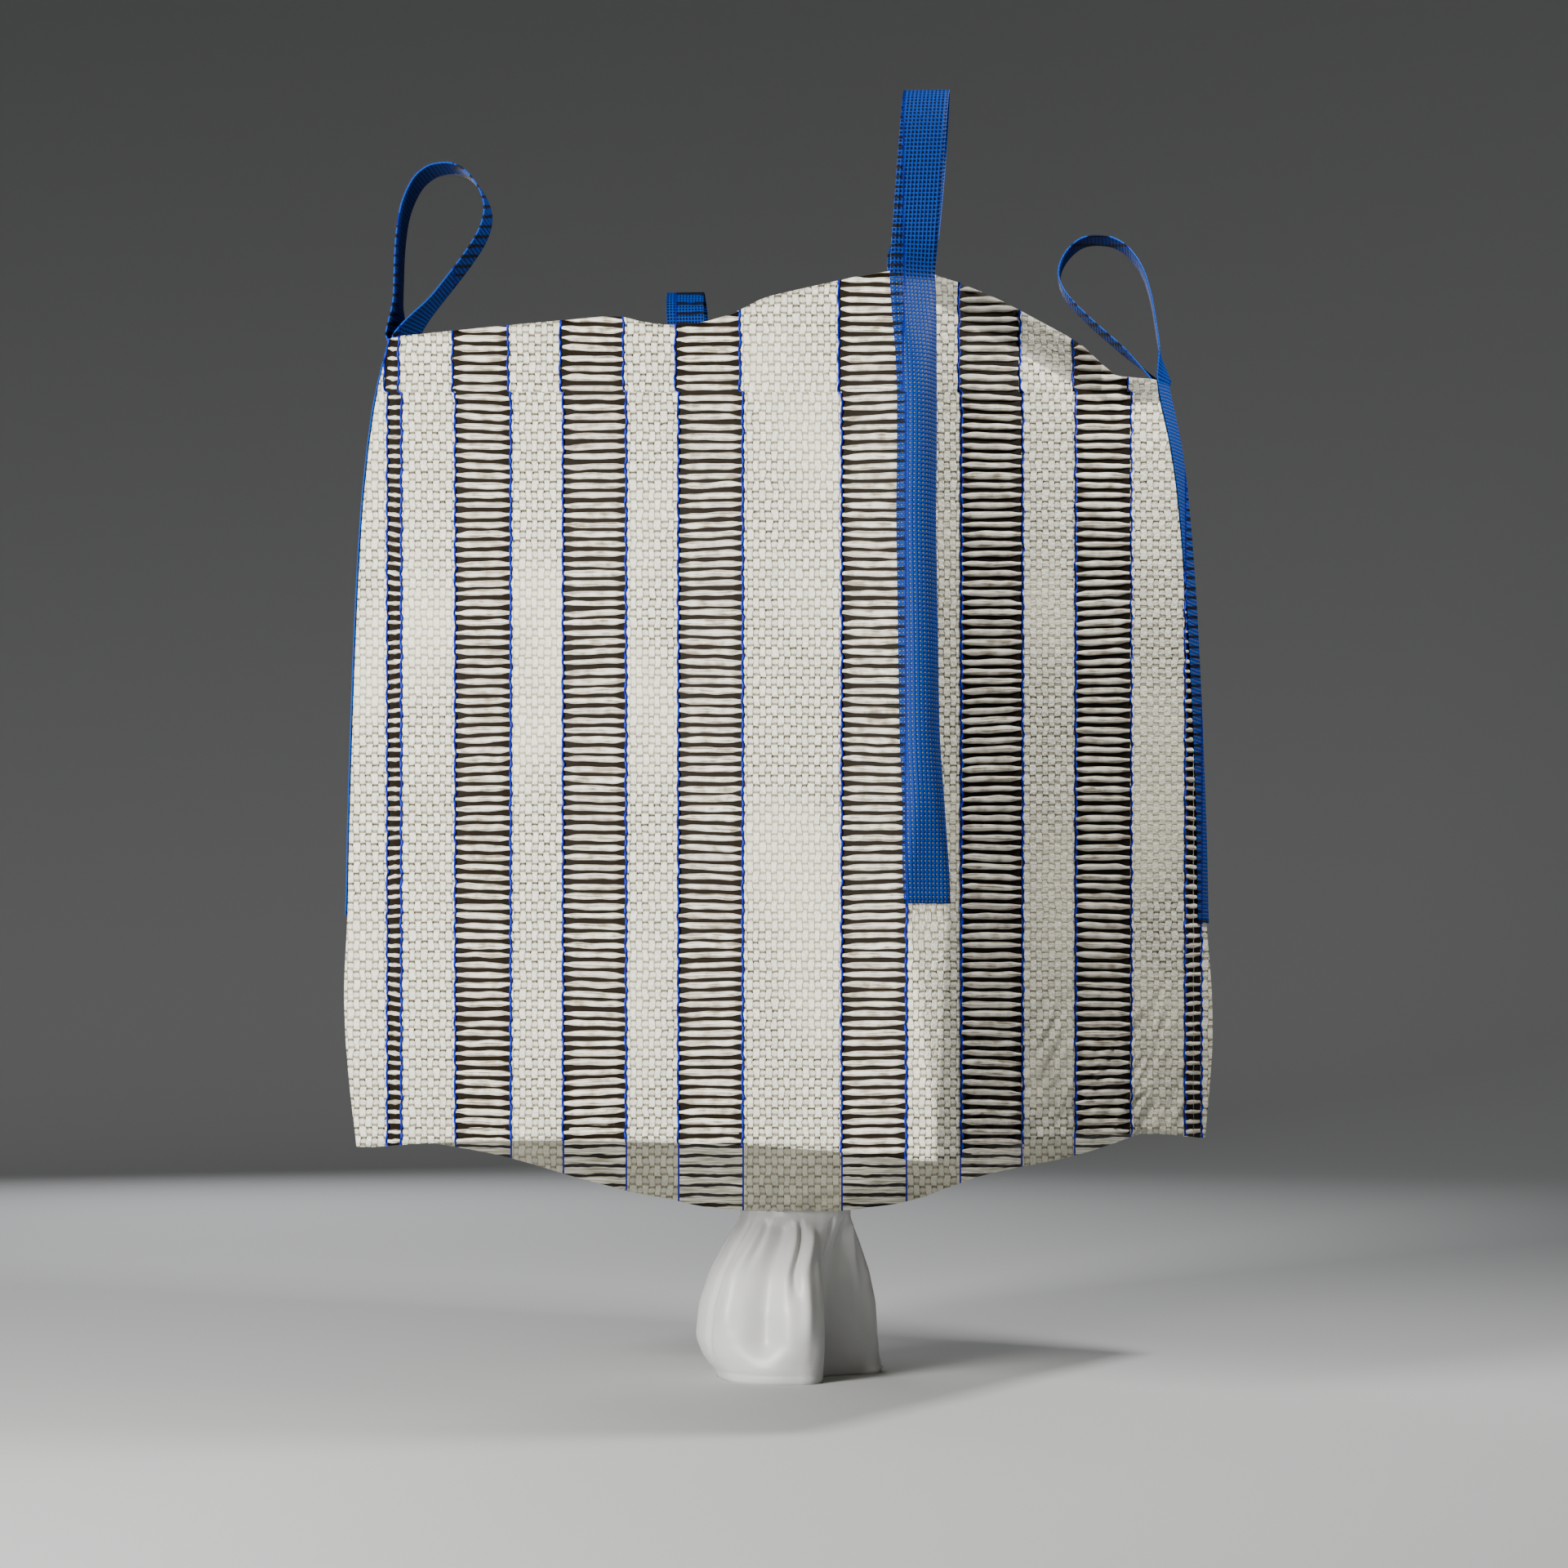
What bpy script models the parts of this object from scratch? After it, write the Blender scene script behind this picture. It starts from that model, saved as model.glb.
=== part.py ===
"""A ventilated bulk bag for Blender: metres, +Z up, its front facing -Y.

The bag stands on the gathered foot of its discharge spout. The fabric pieces
are thin closed shells with the bag's real outline; the weave and the vent
strips are left to the dressed model.
"""
import math
import bmesh
import bpy

# The woven body: heights of its hem and top edge, and the stand-in thickness
HEM_Z = 0.363
TOP_Z = 1.613
FABRIC = 0.003
ROW_HEIGHTS = (HEM_Z, 0.40, 0.45, 0.52, 0.60, 0.66, 0.715, 0.76, 0.85, 0.95,
               1.05, 1.15, 1.25, 1.35, 1.44, 1.50, 1.55, 1.585, TOP_Z)

# Half width of the bag at its corners, by height
HALF_WIDTH = ((0.363, 0.493), (0.40, 0.498), (0.45, 0.504), (0.52, 0.510), (0.60, 0.514),
              (0.715, 0.517), (0.85, 0.519), (0.95, 0.517), (1.09, 0.514), (1.24, 0.5095),
              (1.35, 0.5045), (1.44, 0.498), (1.505, 0.490), (1.55, 0.481), (1.613, 0.467))

# The near and the far corner lie under a strap, so they are flat or rounded across its 66 mm:
# half width of the flat, and of the whole turn. The side corners are rounded beside theirs
CORNER_FLAT = ((0.363, 0.0), (0.45, 0.004), (0.60, 0.018), (0.715, 0.030), (0.76, 0.024),
               (0.85, 0.006), (0.95, 0.0), (1.44, 0.0), (1.50, 0.006), (1.55, 0.018),
               (1.613, 0.030))
CORNER_TURN = ((0.363, 0.005), (0.45, 0.012), (0.60, 0.026), (0.715, 0.033), (0.76, 0.031),
               (0.85, 0.022), (0.95, 0.018), (1.44, 0.018), (1.50, 0.023), (1.55, 0.030),
               (1.613, 0.033))
SIDE_TURN = ((0.363, 0.005), (0.45, 0.012), (0.60, 0.018), (1.613, 0.018))
CORNER_STEPS = (-0.066, -0.055, -0.044, -0.033, -0.022, -0.011, 0.0, 0.011, 0.022, 0.033)

# The taut straps hold the corners in, so the faces stand out further than they do
SIDE_PULL = ((0.363, 0.0), (0.60, 0.0), (0.715, 0.009), (0.85, 0.013), (1.09, 0.011),
             (1.24, 0.0095), (1.44, 0.007), (1.505, 0.004), (1.55, 0.0), (1.613, -0.004))
NEAR_PULL = ((0.363, 0.0), (0.52, 0.008), (0.715, 0.015), (0.95, 0.028), (1.25, 0.028),
             (1.50, 0.018), (1.613, 0.010))
RIGHT_PULL = ((0.363, -0.007), (0.45, -0.004), (0.52, -0.003), (0.60, 0.002), (0.715, 0.015),
              (0.85, 0.019), (1.35, 0.019), (1.44, 0.0175), (1.505, 0.015), (1.55, 0.011),
              (1.613, 0.006))
DIAGONAL = math.sqrt(0.5)
CORNER_PULLS = ((SIDE_PULL, DIAGONAL, DIAGONAL), (NEAR_PULL, -1.0, 0.0),
                (RIGHT_PULL, -DIAGONAL, -DIAGONAL), (SIDE_PULL, DIAGONAL, -DIAGONAL))
FACE_HOLD = 0.94

# How far the middle of each face swells out, by height
FRONT_SWELL = ((0.363, 0.006), (0.50, 0.014), (0.90, 0.020), (1.30, 0.014), (1.50, 0.006),
               (1.613, -0.002))
SIDE_SWELL = ((0.363, 0.006), (0.50, 0.014), (0.90, 0.020), (1.30, 0.010), (1.50, -0.004),
              (1.613, -0.018))
FACE_COLUMNS = 12

# Height of the top edge across a face, from its left end (-1) to its right end (1)
FRONT_EDGE = ((-1.0, 0.0), (-0.60, -0.004), (-0.30, -0.009), (-0.08, -0.012), (0.03, -0.028),
              (0.14, -0.038), (0.28, -0.040), (0.40, -0.032), (0.52, -0.014), (0.68, -0.007),
              (0.88, 0.0), (1.0, 0.0))
SIDE_EDGE = ((-1.0, 0.0), (-0.85, 0.004), (-0.45, 0.0), (-0.10, -0.006), (0.14, -0.011),
             (0.38, -0.028), (0.46, -0.033), (0.66, -0.020), (0.88, -0.003), (1.0, 0.0))
HEM_RISE = 0.017

# The base panel: a seam flange inside the body, then a shallow sagging cone to the spout
SEAM_GAP = 0.0009
FLANGE_LOW = 0.395
FLANGE_HIGH = 0.425
BASE_SHEET = 0.0025
HOLE_RADIUS = 0.0882
BASE_RINGS = ((0.0, 0.262), (0.045, 0.262), (0.14, 0.268), (0.28, 0.284), (0.45, 0.311),
              (0.64, 0.342), (0.82, 0.370))

# The discharge spout: outlines as seen from the camera, right and towards it, and its neck
NECK_RADIUS = 0.0876
SPOUT_SHEET = 0.002
SPOUT_FOOT = ((0.133, -0.010), (0.128, -0.066), (0.088, -0.118), (0.030, -0.138),
              (-0.030, -0.136), (-0.080, -0.112), (-0.112, -0.068), (-0.122, -0.008),
              (-0.119, 0.056), (-0.096, 0.116), (-0.045, 0.150), (0.012, 0.152),
              (0.040, 0.124), (0.040, 0.076), (0.046, 0.040), (0.082, 0.022))
SPOUT_BELLY = ((0.126, -0.014), (0.124, -0.070), (0.092, -0.124), (0.032, -0.152),
               (-0.038, -0.152), (-0.098, -0.126), (-0.142, -0.076), (-0.157, -0.008),
               (-0.149, 0.062), (-0.114, 0.126), (-0.050, 0.162), (0.008, 0.160),
               (0.034, 0.128), (0.034, 0.078), (0.040, 0.042), (0.076, 0.022))
SPOUT_TURNS = (4, 28, 54, 79, 103, 127, 152, 176, 202, 226, 250, 270, 288, 304, 322, 343)
SPOUT_RINGS = ((0.0, 1.0, 0.0), (0.006, 1.0, 0.0), (0.030, 0.35, 0.65), (0.060, 0.0, 1.0),
               (0.110, 0.0, 0.93), (0.160, 0.0, 0.70), (0.210, 0.0, 0.32), (0.244, 0.0, 0.0),
               (0.275, 0.0, 0.0))
VIEW_TURN = math.radians(29.12)
COLUMNS_PER_FOLD = 3

# The lifting loops: one strap each, sewn down outside the corner and tucked down inside it
STRAP_THICK = 0.0026
STRAP_GAP = 0.0007
STRAP_END = 0.715
INNER_END = 1.35
LOOP_PATH = ((0.0, 0.045), (0.0, 0.10), (-0.001, 0.155), (-0.008, 0.205), (-0.025, 0.243),
             (-0.045, 0.261), (-0.064, 0.267), (-0.088, 0.267), (-0.108, 0.258),
             (-0.128, 0.238), (-0.141, 0.214), (-0.144, 0.190), (-0.134, 0.160),
             (-0.108, 0.122), (-0.070, 0.076), (-0.034, 0.034), (-0.016, 0.012))
CORNERS = (("front_left", -1, -1), ("front_right", 1, -1), ("back_right", 1, 1),
           ("back_left", -1, 1))

# For each loop: first column of its strap, height and width shares, degrees turned from the
# corner's diagonal at its foot and above, and its sideways and outward lean at the top
STRAP_POINTS = 7
LOOPS = ((0, 1.03, 0.948, -45.0, -21.0, 0.0, -0.005), (3, 1.05, 1.05, 0.0, -19.0, 0.021, 0.0),
         (0, 0.905, 1.014, -45.0, -23.0, 0.0, -0.034), (3, 0.91, 0.91, 0.0, -19.0, 0.016, 0.0))
LOOP_RISE = 0.267


def read_table(table, at):
    """Straight-line value of a small table at one place."""
    if at <= table[0][0]:
        return table[0][1]
    for (low, low_value), (high, high_value) in zip(table, table[1:]):
        if at <= high:
            part = (at - low) / (high - low)
            return low_value + (high_value - low_value) * part
    return table[-1][1]


def smooth_step(low, high, at):
    """0 below low, 1 above high and a soft turn between."""
    part = min(1.0, max(0.0, (at - low) / (high - low)))
    return part * part * (3.0 - 2.0 * part)


def corner_reach(step, flat, turn):
    """Place across a corner: along its flat and outwards, for a length from its middle."""
    along = 0.0
    outward = 0.0
    pieces = 44
    length = abs(step) / pieces
    for piece in range(pieces):
        here = (piece + 0.5) * length
        angle = math.radians(45.0) * min(1.0, max(0.0, (here - flat) / (turn - flat)))
        along += length * math.cos(angle)
        outward -= length * math.sin(angle)
    return math.copysign(along, step), outward


def corner_pull(index, height):
    """How far a corner is held in by its strap at one height."""
    table, way_x, way_y = CORNER_PULLS[index]
    pull = read_table(table, height)
    return pull * way_x, pull * way_y


def corner_points(index, height):
    """Plan points around one corner of the body, anticlockwise seen from above."""
    name, side_x, side_y = CORNERS[index]
    half = read_table(HALF_WIDTH, height)
    pull_x, pull_y = corner_pull(index, height)
    flat = read_table(CORNER_FLAT, height) if index in (1, 3) else 0.0
    turn = read_table(CORNER_TURN if index in (1, 3) else SIDE_TURN, height)
    end_along, end_outward = corner_reach(CORNER_STEPS[-1], flat, turn)
    out_x = side_x / math.sqrt(2.0)
    out_y = side_y / math.sqrt(2.0)
    middle_x = side_x * half + pull_x - out_x * (end_along + end_outward)
    middle_y = side_y * half + pull_y - out_y * (end_along + end_outward)
    points = []
    for step in CORNER_STEPS:
        along, outward = corner_reach(step, flat, turn) if step else (0.0, 0.0)
        points.append((middle_x + out_x * outward - out_y * along,
                       middle_y + out_y * outward + out_x * along))
    return points


def outline(height):
    """Plan points of the body at one height, from the front's left corner, anticlockwise."""
    corners = [corner_points(index, height) for index in range(4)]
    points = []
    for index in range(4):
        points.extend(corners[index])
        start = corners[index][-1]
        end = corners[(index + 1) % 4][0]
        swell_table = FRONT_SWELL if index in (0, 2) else SIDE_SWELL
        length = math.dist(start, end)
        out_x = (end[1] - start[1]) / length
        out_y = (start[0] - end[0]) / length
        first = corner_pull(index, height)
        second = corner_pull((index + 1) % 4, height)
        held = -0.5 * ((first[0] + second[0]) * out_x + (first[1] + second[1]) * out_y)
        swell = read_table(swell_table, height) + FACE_HOLD * held
        for column in range(1, FACE_COLUMNS):
            part = column / FACE_COLUMNS
            bow = swell * (1.0 - (2.0 * part - 1.0) ** 2)
            points.append((start[0] + (end[0] - start[0]) * part + out_x * bow,
                           start[1] + (end[1] - start[1]) * part + out_y * bow))
    return points


def moved_outline(height, distance):
    """The outline moved outwards by a distance, with its corners mitred."""
    points = outline(height)
    count = len(points)
    moved = []
    for index, point in enumerate(points):
        before = points[index - 1]
        after = points[(index + 1) % count]
        first = edge_normal(before, point)
        second = edge_normal(point, after)
        share = 1.0 + first[0] * second[0] + first[1] * second[1]
        moved.append((point[0] + distance * (first[0] + second[0]) / share,
                      point[1] + distance * (first[1] + second[1]) / share))
    return moved


def edge_normal(start, end):
    """Outward normal of an edge of an anticlockwise outline."""
    length = math.dist(start, end)
    return (end[1] - start[1]) / length, (start[0] - end[0]) / length


def edge_heights():
    """How far the top edge and the hem of each column leave their level lines."""
    changes = []
    for face in range(4):
        changes.extend([(0.0, 0.0)] * len(CORNER_STEPS))
        table = FRONT_EDGE if face in (0, 2) else SIDE_EDGE
        for column in range(1, FACE_COLUMNS):
            place = 2.0 * column / FACE_COLUMNS - 1.0
            changes.append((read_table(table, place), HEM_RISE * (1.0 - abs(place) ** 2.5)))
    return changes


def open_sheet(name, columns, rows, place, thickness, colour, roughness, mirrored_from=999):
    """A grid whose corners are put in place one by one, then made a closed shell.

    Its squares are split the same way as those of the sheet it lies on, and the
    other way from the row where the sheet runs down again.
    """
    mesh = bpy.data.meshes.new(name)
    sheet = bpy.data.objects.new(name, mesh)
    build = bmesh.new()
    bmesh.ops.create_grid(build, x_segments=columns, y_segments=rows, size=0.5)
    rising = []
    falling = []
    for face in build.faces:
        row = (face.calc_center_median().y + 0.5) * rows
        (falling if row > mirrored_from else rising).append(face)
    for vertex in build.verts:
        column = round((vertex.co.x + 0.5) * columns)
        row = round((vertex.co.y + 0.5) * rows)
        vertex.co = place(column, row)
    bmesh.ops.triangulate(build, faces=rising, quad_method='FIXED')
    bmesh.ops.triangulate(build, faces=falling, quad_method='ALTERNATE')
    bmesh.ops.remove_doubles(build, verts=build.verts, dist=0.00002)
    build.to_mesh(mesh)
    build.free()
    shell = sheet.modifiers.new("thickness", 'SOLIDIFY')
    shell.thickness = thickness
    shell.offset = -1.0
    shell.use_even_offset = True
    collection = bpy.data.collections.new(name)
    bpy.context.scene.collection.children.link(collection)
    collection.objects.link(sheet)
    material = bpy.data.materials.new(name)
    material.use_nodes = True
    surface = material.node_tree.nodes["Principled BSDF"]
    surface.inputs["Base Color"].default_value = (*colour, 1.0)
    surface.inputs["Roughness"].default_value = roughness
    surface.inputs["Metallic"].default_value = 0.0
    mesh.materials.append(material)
    return sheet


def make_body():
    """The seamless woven tube, open at the top, with its wavy top edge and hem."""
    changes = edge_heights()
    around = len(changes)

    def place(column, row):
        index = column % around
        level = ROW_HEIGHTS[row]
        top_change, hem_change = changes[index]
        height = level + top_change * smooth_step(1.30, TOP_Z, level)
        height += hem_change * (1.0 - smooth_step(HEM_Z, 0.52, level))
        plan = outline(height)[index] if top_change or hem_change else outline(level)[index]
        return plan[0], plan[1], height

    return open_sheet("bag_body", around, len(ROW_HEIGHTS) - 1, place, FABRIC,
                      (0.68, 0.67, 0.63), 0.62)


def make_base():
    """The base panel: its flange lies inside the hem and its middle sags to the spout hole."""
    rim = moved_outline(FLANGE_LOW, -FABRIC - SEAM_GAP)
    top = moved_outline(FLANGE_HIGH, -FABRIC - SEAM_GAP)
    around = len(rim)

    def place(column, row):
        index = column % around
        if row >= len(BASE_RINGS):
            point = (rim, top)[row - len(BASE_RINGS)][index]
            return point[0], point[1], (FLANGE_LOW, FLANGE_HIGH)[row - len(BASE_RINGS)]
        part, height = BASE_RINGS[row]
        angle = math.atan2(rim[index][1], rim[index][0])
        radius = HOLE_RADIUS
        square = smooth_step(-0.35, 0.75, part) if part > 0.1 else 0.0
        reach = part * 0.5
        blend_x = (1.0 - square) * math.cos(angle) * reach + square * rim[index][0] * part
        blend_y = (1.0 - square) * math.sin(angle) * reach + square * rim[index][1] * part
        hole_part = 1.0 - part
        return (blend_x + radius * math.cos(angle) * hole_part,
                blend_y + radius * math.sin(angle) * hole_part, height)

    return open_sheet("base_panel", around, len(BASE_RINGS) + 1, place, BASE_SHEET,
                      (0.60, 0.59, 0.55), 0.65)


def closed_curve_point(controls, at):
    """Point on a smooth closed line through the controls, one unit for each control."""
    count = len(controls)
    base = int(math.floor(at))
    part = at - base
    before, start, end, after = (controls[(base + shift) % count] for shift in (-1, 0, 1, 2))
    values = []
    for axis in range(2):
        bend = (2.0 * start[axis]
                + (end[axis] - before[axis]) * part
                + (2.0 * before[axis] - 5.0 * start[axis] + 4.0 * end[axis] - after[axis]) * part ** 2
                + (3.0 * start[axis] - before[axis] - 3.0 * end[axis] + after[axis]) * part ** 3)
        values.append(0.5 * bend)
    return values


def make_spout():
    """The discharge spout: a gathered sleeve, open through, that stands on its folded foot."""
    folds = len(SPOUT_FOOT)
    around = folds * COLUMNS_PER_FOLD
    turns = SPOUT_TURNS + (SPOUT_TURNS[0] + 360,)

    def place(column, row):
        at = (column % around) / COLUMNS_PER_FOLD
        base = int(at)
        turn = math.radians(turns[base] + (turns[base + 1] - turns[base]) * (at - base))
        neck = (NECK_RADIUS * math.cos(turn), -NECK_RADIUS * math.sin(turn))
        foot = closed_curve_point(SPOUT_FOOT, at)
        belly = closed_curve_point(SPOUT_BELLY, at)
        height, foot_share, belly_share = SPOUT_RINGS[row]
        neck_share = 1.0 - foot_share - belly_share
        across = foot_share * foot[0] + belly_share * belly[0] + neck_share * neck[0]
        towards = foot_share * foot[1] + belly_share * belly[1] + neck_share * neck[1]
        return (across * math.cos(VIEW_TURN) + towards * math.sin(VIEW_TURN),
                across * math.sin(VIEW_TURN) - towards * math.cos(VIEW_TURN), height)

    return open_sheet("discharge_spout", around, len(SPOUT_RINGS) - 1, place, SPOUT_SHEET,
                      (0.52, 0.52, 0.50), 0.38)


def make_loop(index):
    """One lifting loop: up the outside of its corner, over in a teardrop, down the inside."""
    name, side_x, side_y = CORNERS[index]
    column, high, wide, foot_turn, top_turn, sideways, outwards = LOOPS[index]
    diagonal = math.atan2(side_y, side_x)
    first = index * (len(CORNER_STEPS) + FACE_COLUMNS - 1) + column
    last = first + STRAP_POINTS
    rows = []
    for height in ROW_HEIGHTS:
        if height >= STRAP_END:
            outside = moved_outline(height, STRAP_GAP)[first:last]
            rows.append([(x, y, height) for x, y in outside])
    middle = rows[-1][STRAP_POINTS // 2]
    for inward, rise in LOOP_PATH:
        turn = foot_turn + (top_turn - foot_turn) * smooth_step(-0.01, 0.07, rise)
        out_x = math.cos(diagonal + math.radians(turn))
        out_y = math.sin(diagonal + math.radians(turn))
        share = rise / LOOP_RISE
        out = inward * wide + outwards * share
        line = []
        for point in range(STRAP_POINTS):
            aside = 0.011 * (point - STRAP_POINTS // 2) + sideways * share
            line.append((middle[0] + out_x * out - out_y * aside,
                         middle[1] + out_y * out + out_x * aside,
                         TOP_Z + rise * high))
        rows.append(line)
    turned_over = len(rows)
    for height in reversed(ROW_HEIGHTS):
        if height >= INNER_END:
            inside = moved_outline(height, -FABRIC - STRAP_GAP)[first:last]
            rows.append([(x, y, height) for x, y in inside])

    def place(column, row):
        return rows[row][column]

    loop = open_sheet("lifting_loop_" + name, STRAP_POINTS - 1, len(rows) - 1, place,
                      STRAP_THICK, (0.01, 0.09, 0.45), 0.50, mirrored_from=turned_over)
    loop.modifiers["thickness"].offset = 1.0
    return loop


for thing in list(bpy.data.objects):
    bpy.data.objects.remove(thing)

make_body()
make_base()
make_spout()
for corner in range(4):
    make_loop(corner)
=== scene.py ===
import math
import bmesh
import bpy
import numpy as np
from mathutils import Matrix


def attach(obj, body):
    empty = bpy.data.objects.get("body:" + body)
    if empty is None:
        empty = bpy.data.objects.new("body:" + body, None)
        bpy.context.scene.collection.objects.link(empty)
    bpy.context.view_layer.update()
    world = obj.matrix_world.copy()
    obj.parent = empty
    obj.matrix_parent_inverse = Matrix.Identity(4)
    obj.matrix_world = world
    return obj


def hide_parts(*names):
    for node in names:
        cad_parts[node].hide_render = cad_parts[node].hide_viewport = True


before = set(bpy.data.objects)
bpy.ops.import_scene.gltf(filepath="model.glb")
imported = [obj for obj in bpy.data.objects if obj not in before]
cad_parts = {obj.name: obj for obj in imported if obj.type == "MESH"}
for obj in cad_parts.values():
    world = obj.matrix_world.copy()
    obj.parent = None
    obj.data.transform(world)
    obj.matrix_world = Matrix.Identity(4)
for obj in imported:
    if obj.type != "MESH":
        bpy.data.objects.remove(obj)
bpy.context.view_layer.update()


# The viewpoint and the studio: a plain pale floor that curves up far out, soft lights from
# the front left, from low in front, over the right face and from behind, and a pale sky.
VIEW_POINT = (2.3488, -4.2540, 0.555)
VIEW_TURN = math.radians(29.118)
VIEW_RISE = math.radians(4.43)

camera_data = bpy.data.cameras.new("studio_camera")
camera_data.lens = 70.0
camera_data.sensor_width = 36.0
camera_data.clip_end = 60.0
camera = bpy.data.objects.new("studio_camera", camera_data)
camera.location = VIEW_POINT
camera.rotation_euler = (math.radians(90.0) + VIEW_RISE, 0.0, VIEW_TURN)
bpy.context.scene.collection.objects.link(camera)
bpy.context.scene.camera = camera


def add_soft_light(name, place, aim, size, power, colour):
    data = bpy.data.lights.new(name, 'AREA')
    data.shape = 'RECTANGLE'
    data.size, data.size_y = size
    data.energy = power
    data.color = colour
    light = bpy.data.objects.new(name, data)
    light.location = place
    reach = [end - start for start, end in zip(place, aim)]
    flat = math.hypot(reach[0], reach[1])
    light.rotation_euler = (math.atan2(flat, -reach[2]), 0.0, math.atan2(-reach[0], reach[1]))
    bpy.context.scene.collection.objects.link(light)


add_soft_light("key_light", (-1.2, -4.8, 2.3), (0.0, 0.0, 0.9), (1.3, 1.3), 470.0, (1.0, 0.985, 0.955))
add_soft_light("low_light", (-0.3, -4.9, 0.75), (0.0, 0.0, 0.7), (1.0, 0.7), 125.0, (1.0, 0.985, 0.955))
add_soft_light("side_light", (1.40, 0.20, 2.75), (0.55, 0.1, 1.3), (0.45, 0.45), 74.0, (1.0, 0.99, 0.97))
add_soft_light("far_light", (-4.2, 3.6, 3.0), (0.0, 0.0, 0.9), (2.5, 2.5), 150.0, (0.97, 0.98, 1.0))

world = bpy.data.worlds.new("studio_air")
world.use_nodes = True
sky = world.node_tree.nodes["Background"].inputs
sky["Color"].default_value = (0.80, 0.82, 0.85, 1.0)
sky["Strength"].default_value = 0.09
bpy.context.scene.world = world

FLOOR_REACH = 16.0
FLOOR_LEVEL_REACH = 6.5
FLOOR_RISE = 0.09


def linked_piece(name, build):
    """The finished bmesh as an object in the scene."""
    mesh = bpy.data.meshes.new(name)
    build.to_mesh(mesh)
    build.free()
    piece = bpy.data.objects.new(name, mesh)
    bpy.context.scene.collection.objects.link(piece)
    return piece


floor_build = bmesh.new()
bmesh.ops.create_grid(floor_build, x_segments=80, y_segments=80, size=FLOOR_REACH)
for point in floor_build.verts:
    beyond = max(0.0, point.co.length - FLOOR_LEVEL_REACH)
    point.co.z = FLOOR_RISE * beyond * beyond
floor = linked_piece("studio_floor", floor_build)
for face in floor.data.polygons:
    face.use_smooth = True
floor_paint = bpy.data.materials.new("pale_floor")
floor_paint.use_nodes = True
floor_shader = floor_paint.node_tree.nodes["Principled BSDF"].inputs
floor_shader["Base Color"].default_value = (0.42, 0.425, 0.43, 1.0)
floor_shader["Roughness"].default_value = 0.85
floor.data.materials.append(floor_paint)


# The woven body: one seamless tube of flat polypropylene tapes, hung from its corners.
# It is laid out first as rows of points round the bag, and the tapes, threads and
# straps of the later sections all lie on those rows.
HEM_Z = 0.363
TOP_Z = 1.613
HALF_WIDTH = ((0.363, 0.493), (0.40, 0.498), (0.45, 0.504), (0.52, 0.510), (0.60, 0.514),
              (0.715, 0.517), (0.85, 0.519), (0.95, 0.517), (1.09, 0.514), (1.24, 0.5095),
              (1.35, 0.5045), (1.44, 0.498), (1.505, 0.490), (1.55, 0.481), (1.613, 0.467))
CORNER_FLAT = ((0.363, 0.0), (0.45, 0.004), (0.60, 0.018), (0.715, 0.030), (0.76, 0.024),
               (0.85, 0.006), (0.95, 0.0), (1.44, 0.0), (1.50, 0.006), (1.55, 0.018),
               (1.613, 0.030))
CORNER_TURN = ((0.363, 0.003), (0.45, 0.008), (0.60, 0.022), (0.715, 0.033), (0.76, 0.031),
               (0.85, 0.022), (0.95, 0.018), (1.44, 0.018), (1.50, 0.023), (1.55, 0.030),
               (1.613, 0.033))
SIDE_TURN = ((0.363, 0.005), (0.45, 0.012), (0.60, 0.018), (1.613, 0.018))
SIDE_PULL = ((0.363, 0.0), (0.60, 0.0), (0.715, 0.009), (0.85, 0.013), (1.09, 0.011),
             (1.24, 0.0095), (1.44, 0.007), (1.505, 0.004), (1.55, 0.0), (1.613, -0.004))
NEAR_PULL = ((0.363, 0.0), (0.52, 0.008), (0.715, 0.015), (0.95, 0.028), (1.25, 0.028),
             (1.50, 0.018), (1.613, 0.010))
RIGHT_PULL = ((0.363, -0.007), (0.45, -0.004), (0.52, -0.003), (0.60, 0.002), (0.715, 0.015),
              (0.85, 0.019), (1.35, 0.019), (1.44, 0.0175), (1.505, 0.015), (1.55, 0.011),
              (1.613, 0.006))
DIAGONAL = math.sqrt(0.5)
CORNER_PULLS = ((SIDE_PULL, DIAGONAL, DIAGONAL), (NEAR_PULL, -1.0, 0.0),
                (RIGHT_PULL, -DIAGONAL, -DIAGONAL), (SIDE_PULL, DIAGONAL, -DIAGONAL))
FACE_HOLD = 0.94
FRONT_SWELL = ((0.363, 0.006), (0.50, 0.014), (0.90, 0.020), (1.30, 0.014), (1.50, 0.006),
               (1.613, -0.002))
SIDE_SWELL = ((0.363, 0.006), (0.50, 0.014), (0.90, 0.020), (1.30, 0.010), (1.50, -0.004),
              (1.613, -0.018))
FRONT_EDGE = ((-1.0, 0.0), (-0.60, -0.004), (-0.30, -0.009), (-0.08, -0.012), (0.03, -0.028),
              (0.14, -0.038), (0.28, -0.040), (0.40, -0.032), (0.52, -0.014), (0.68, -0.007),
              (0.88, 0.0), (1.0, 0.0))
SIDE_EDGE = ((-1.0, 0.0), (-0.85, 0.004), (-0.45, 0.0), (-0.10, -0.006), (0.14, -0.011),
             (0.38, -0.028), (0.46, -0.033), (0.66, -0.020), (0.88, -0.003), (1.0, 0.0))
HEM_RISE = 0.017
CORNER_COLUMNS = 6
FACE_COLUMNS = 84
ROWS = 126
CORNER_HALF = 0.033
CORNER_PIECES = 24
SIDE_COLUMNS = FACE_COLUMNS + 2 * CORNER_COLUMNS
AROUND = 4 * SIDE_COLUMNS
CORNER_SIGNS = ((-1, -1), (1, -1), (1, 1), (-1, 1))


def read_table(table, at):
    places, values = zip(*table)
    return np.interp(at, places, values)


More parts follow.
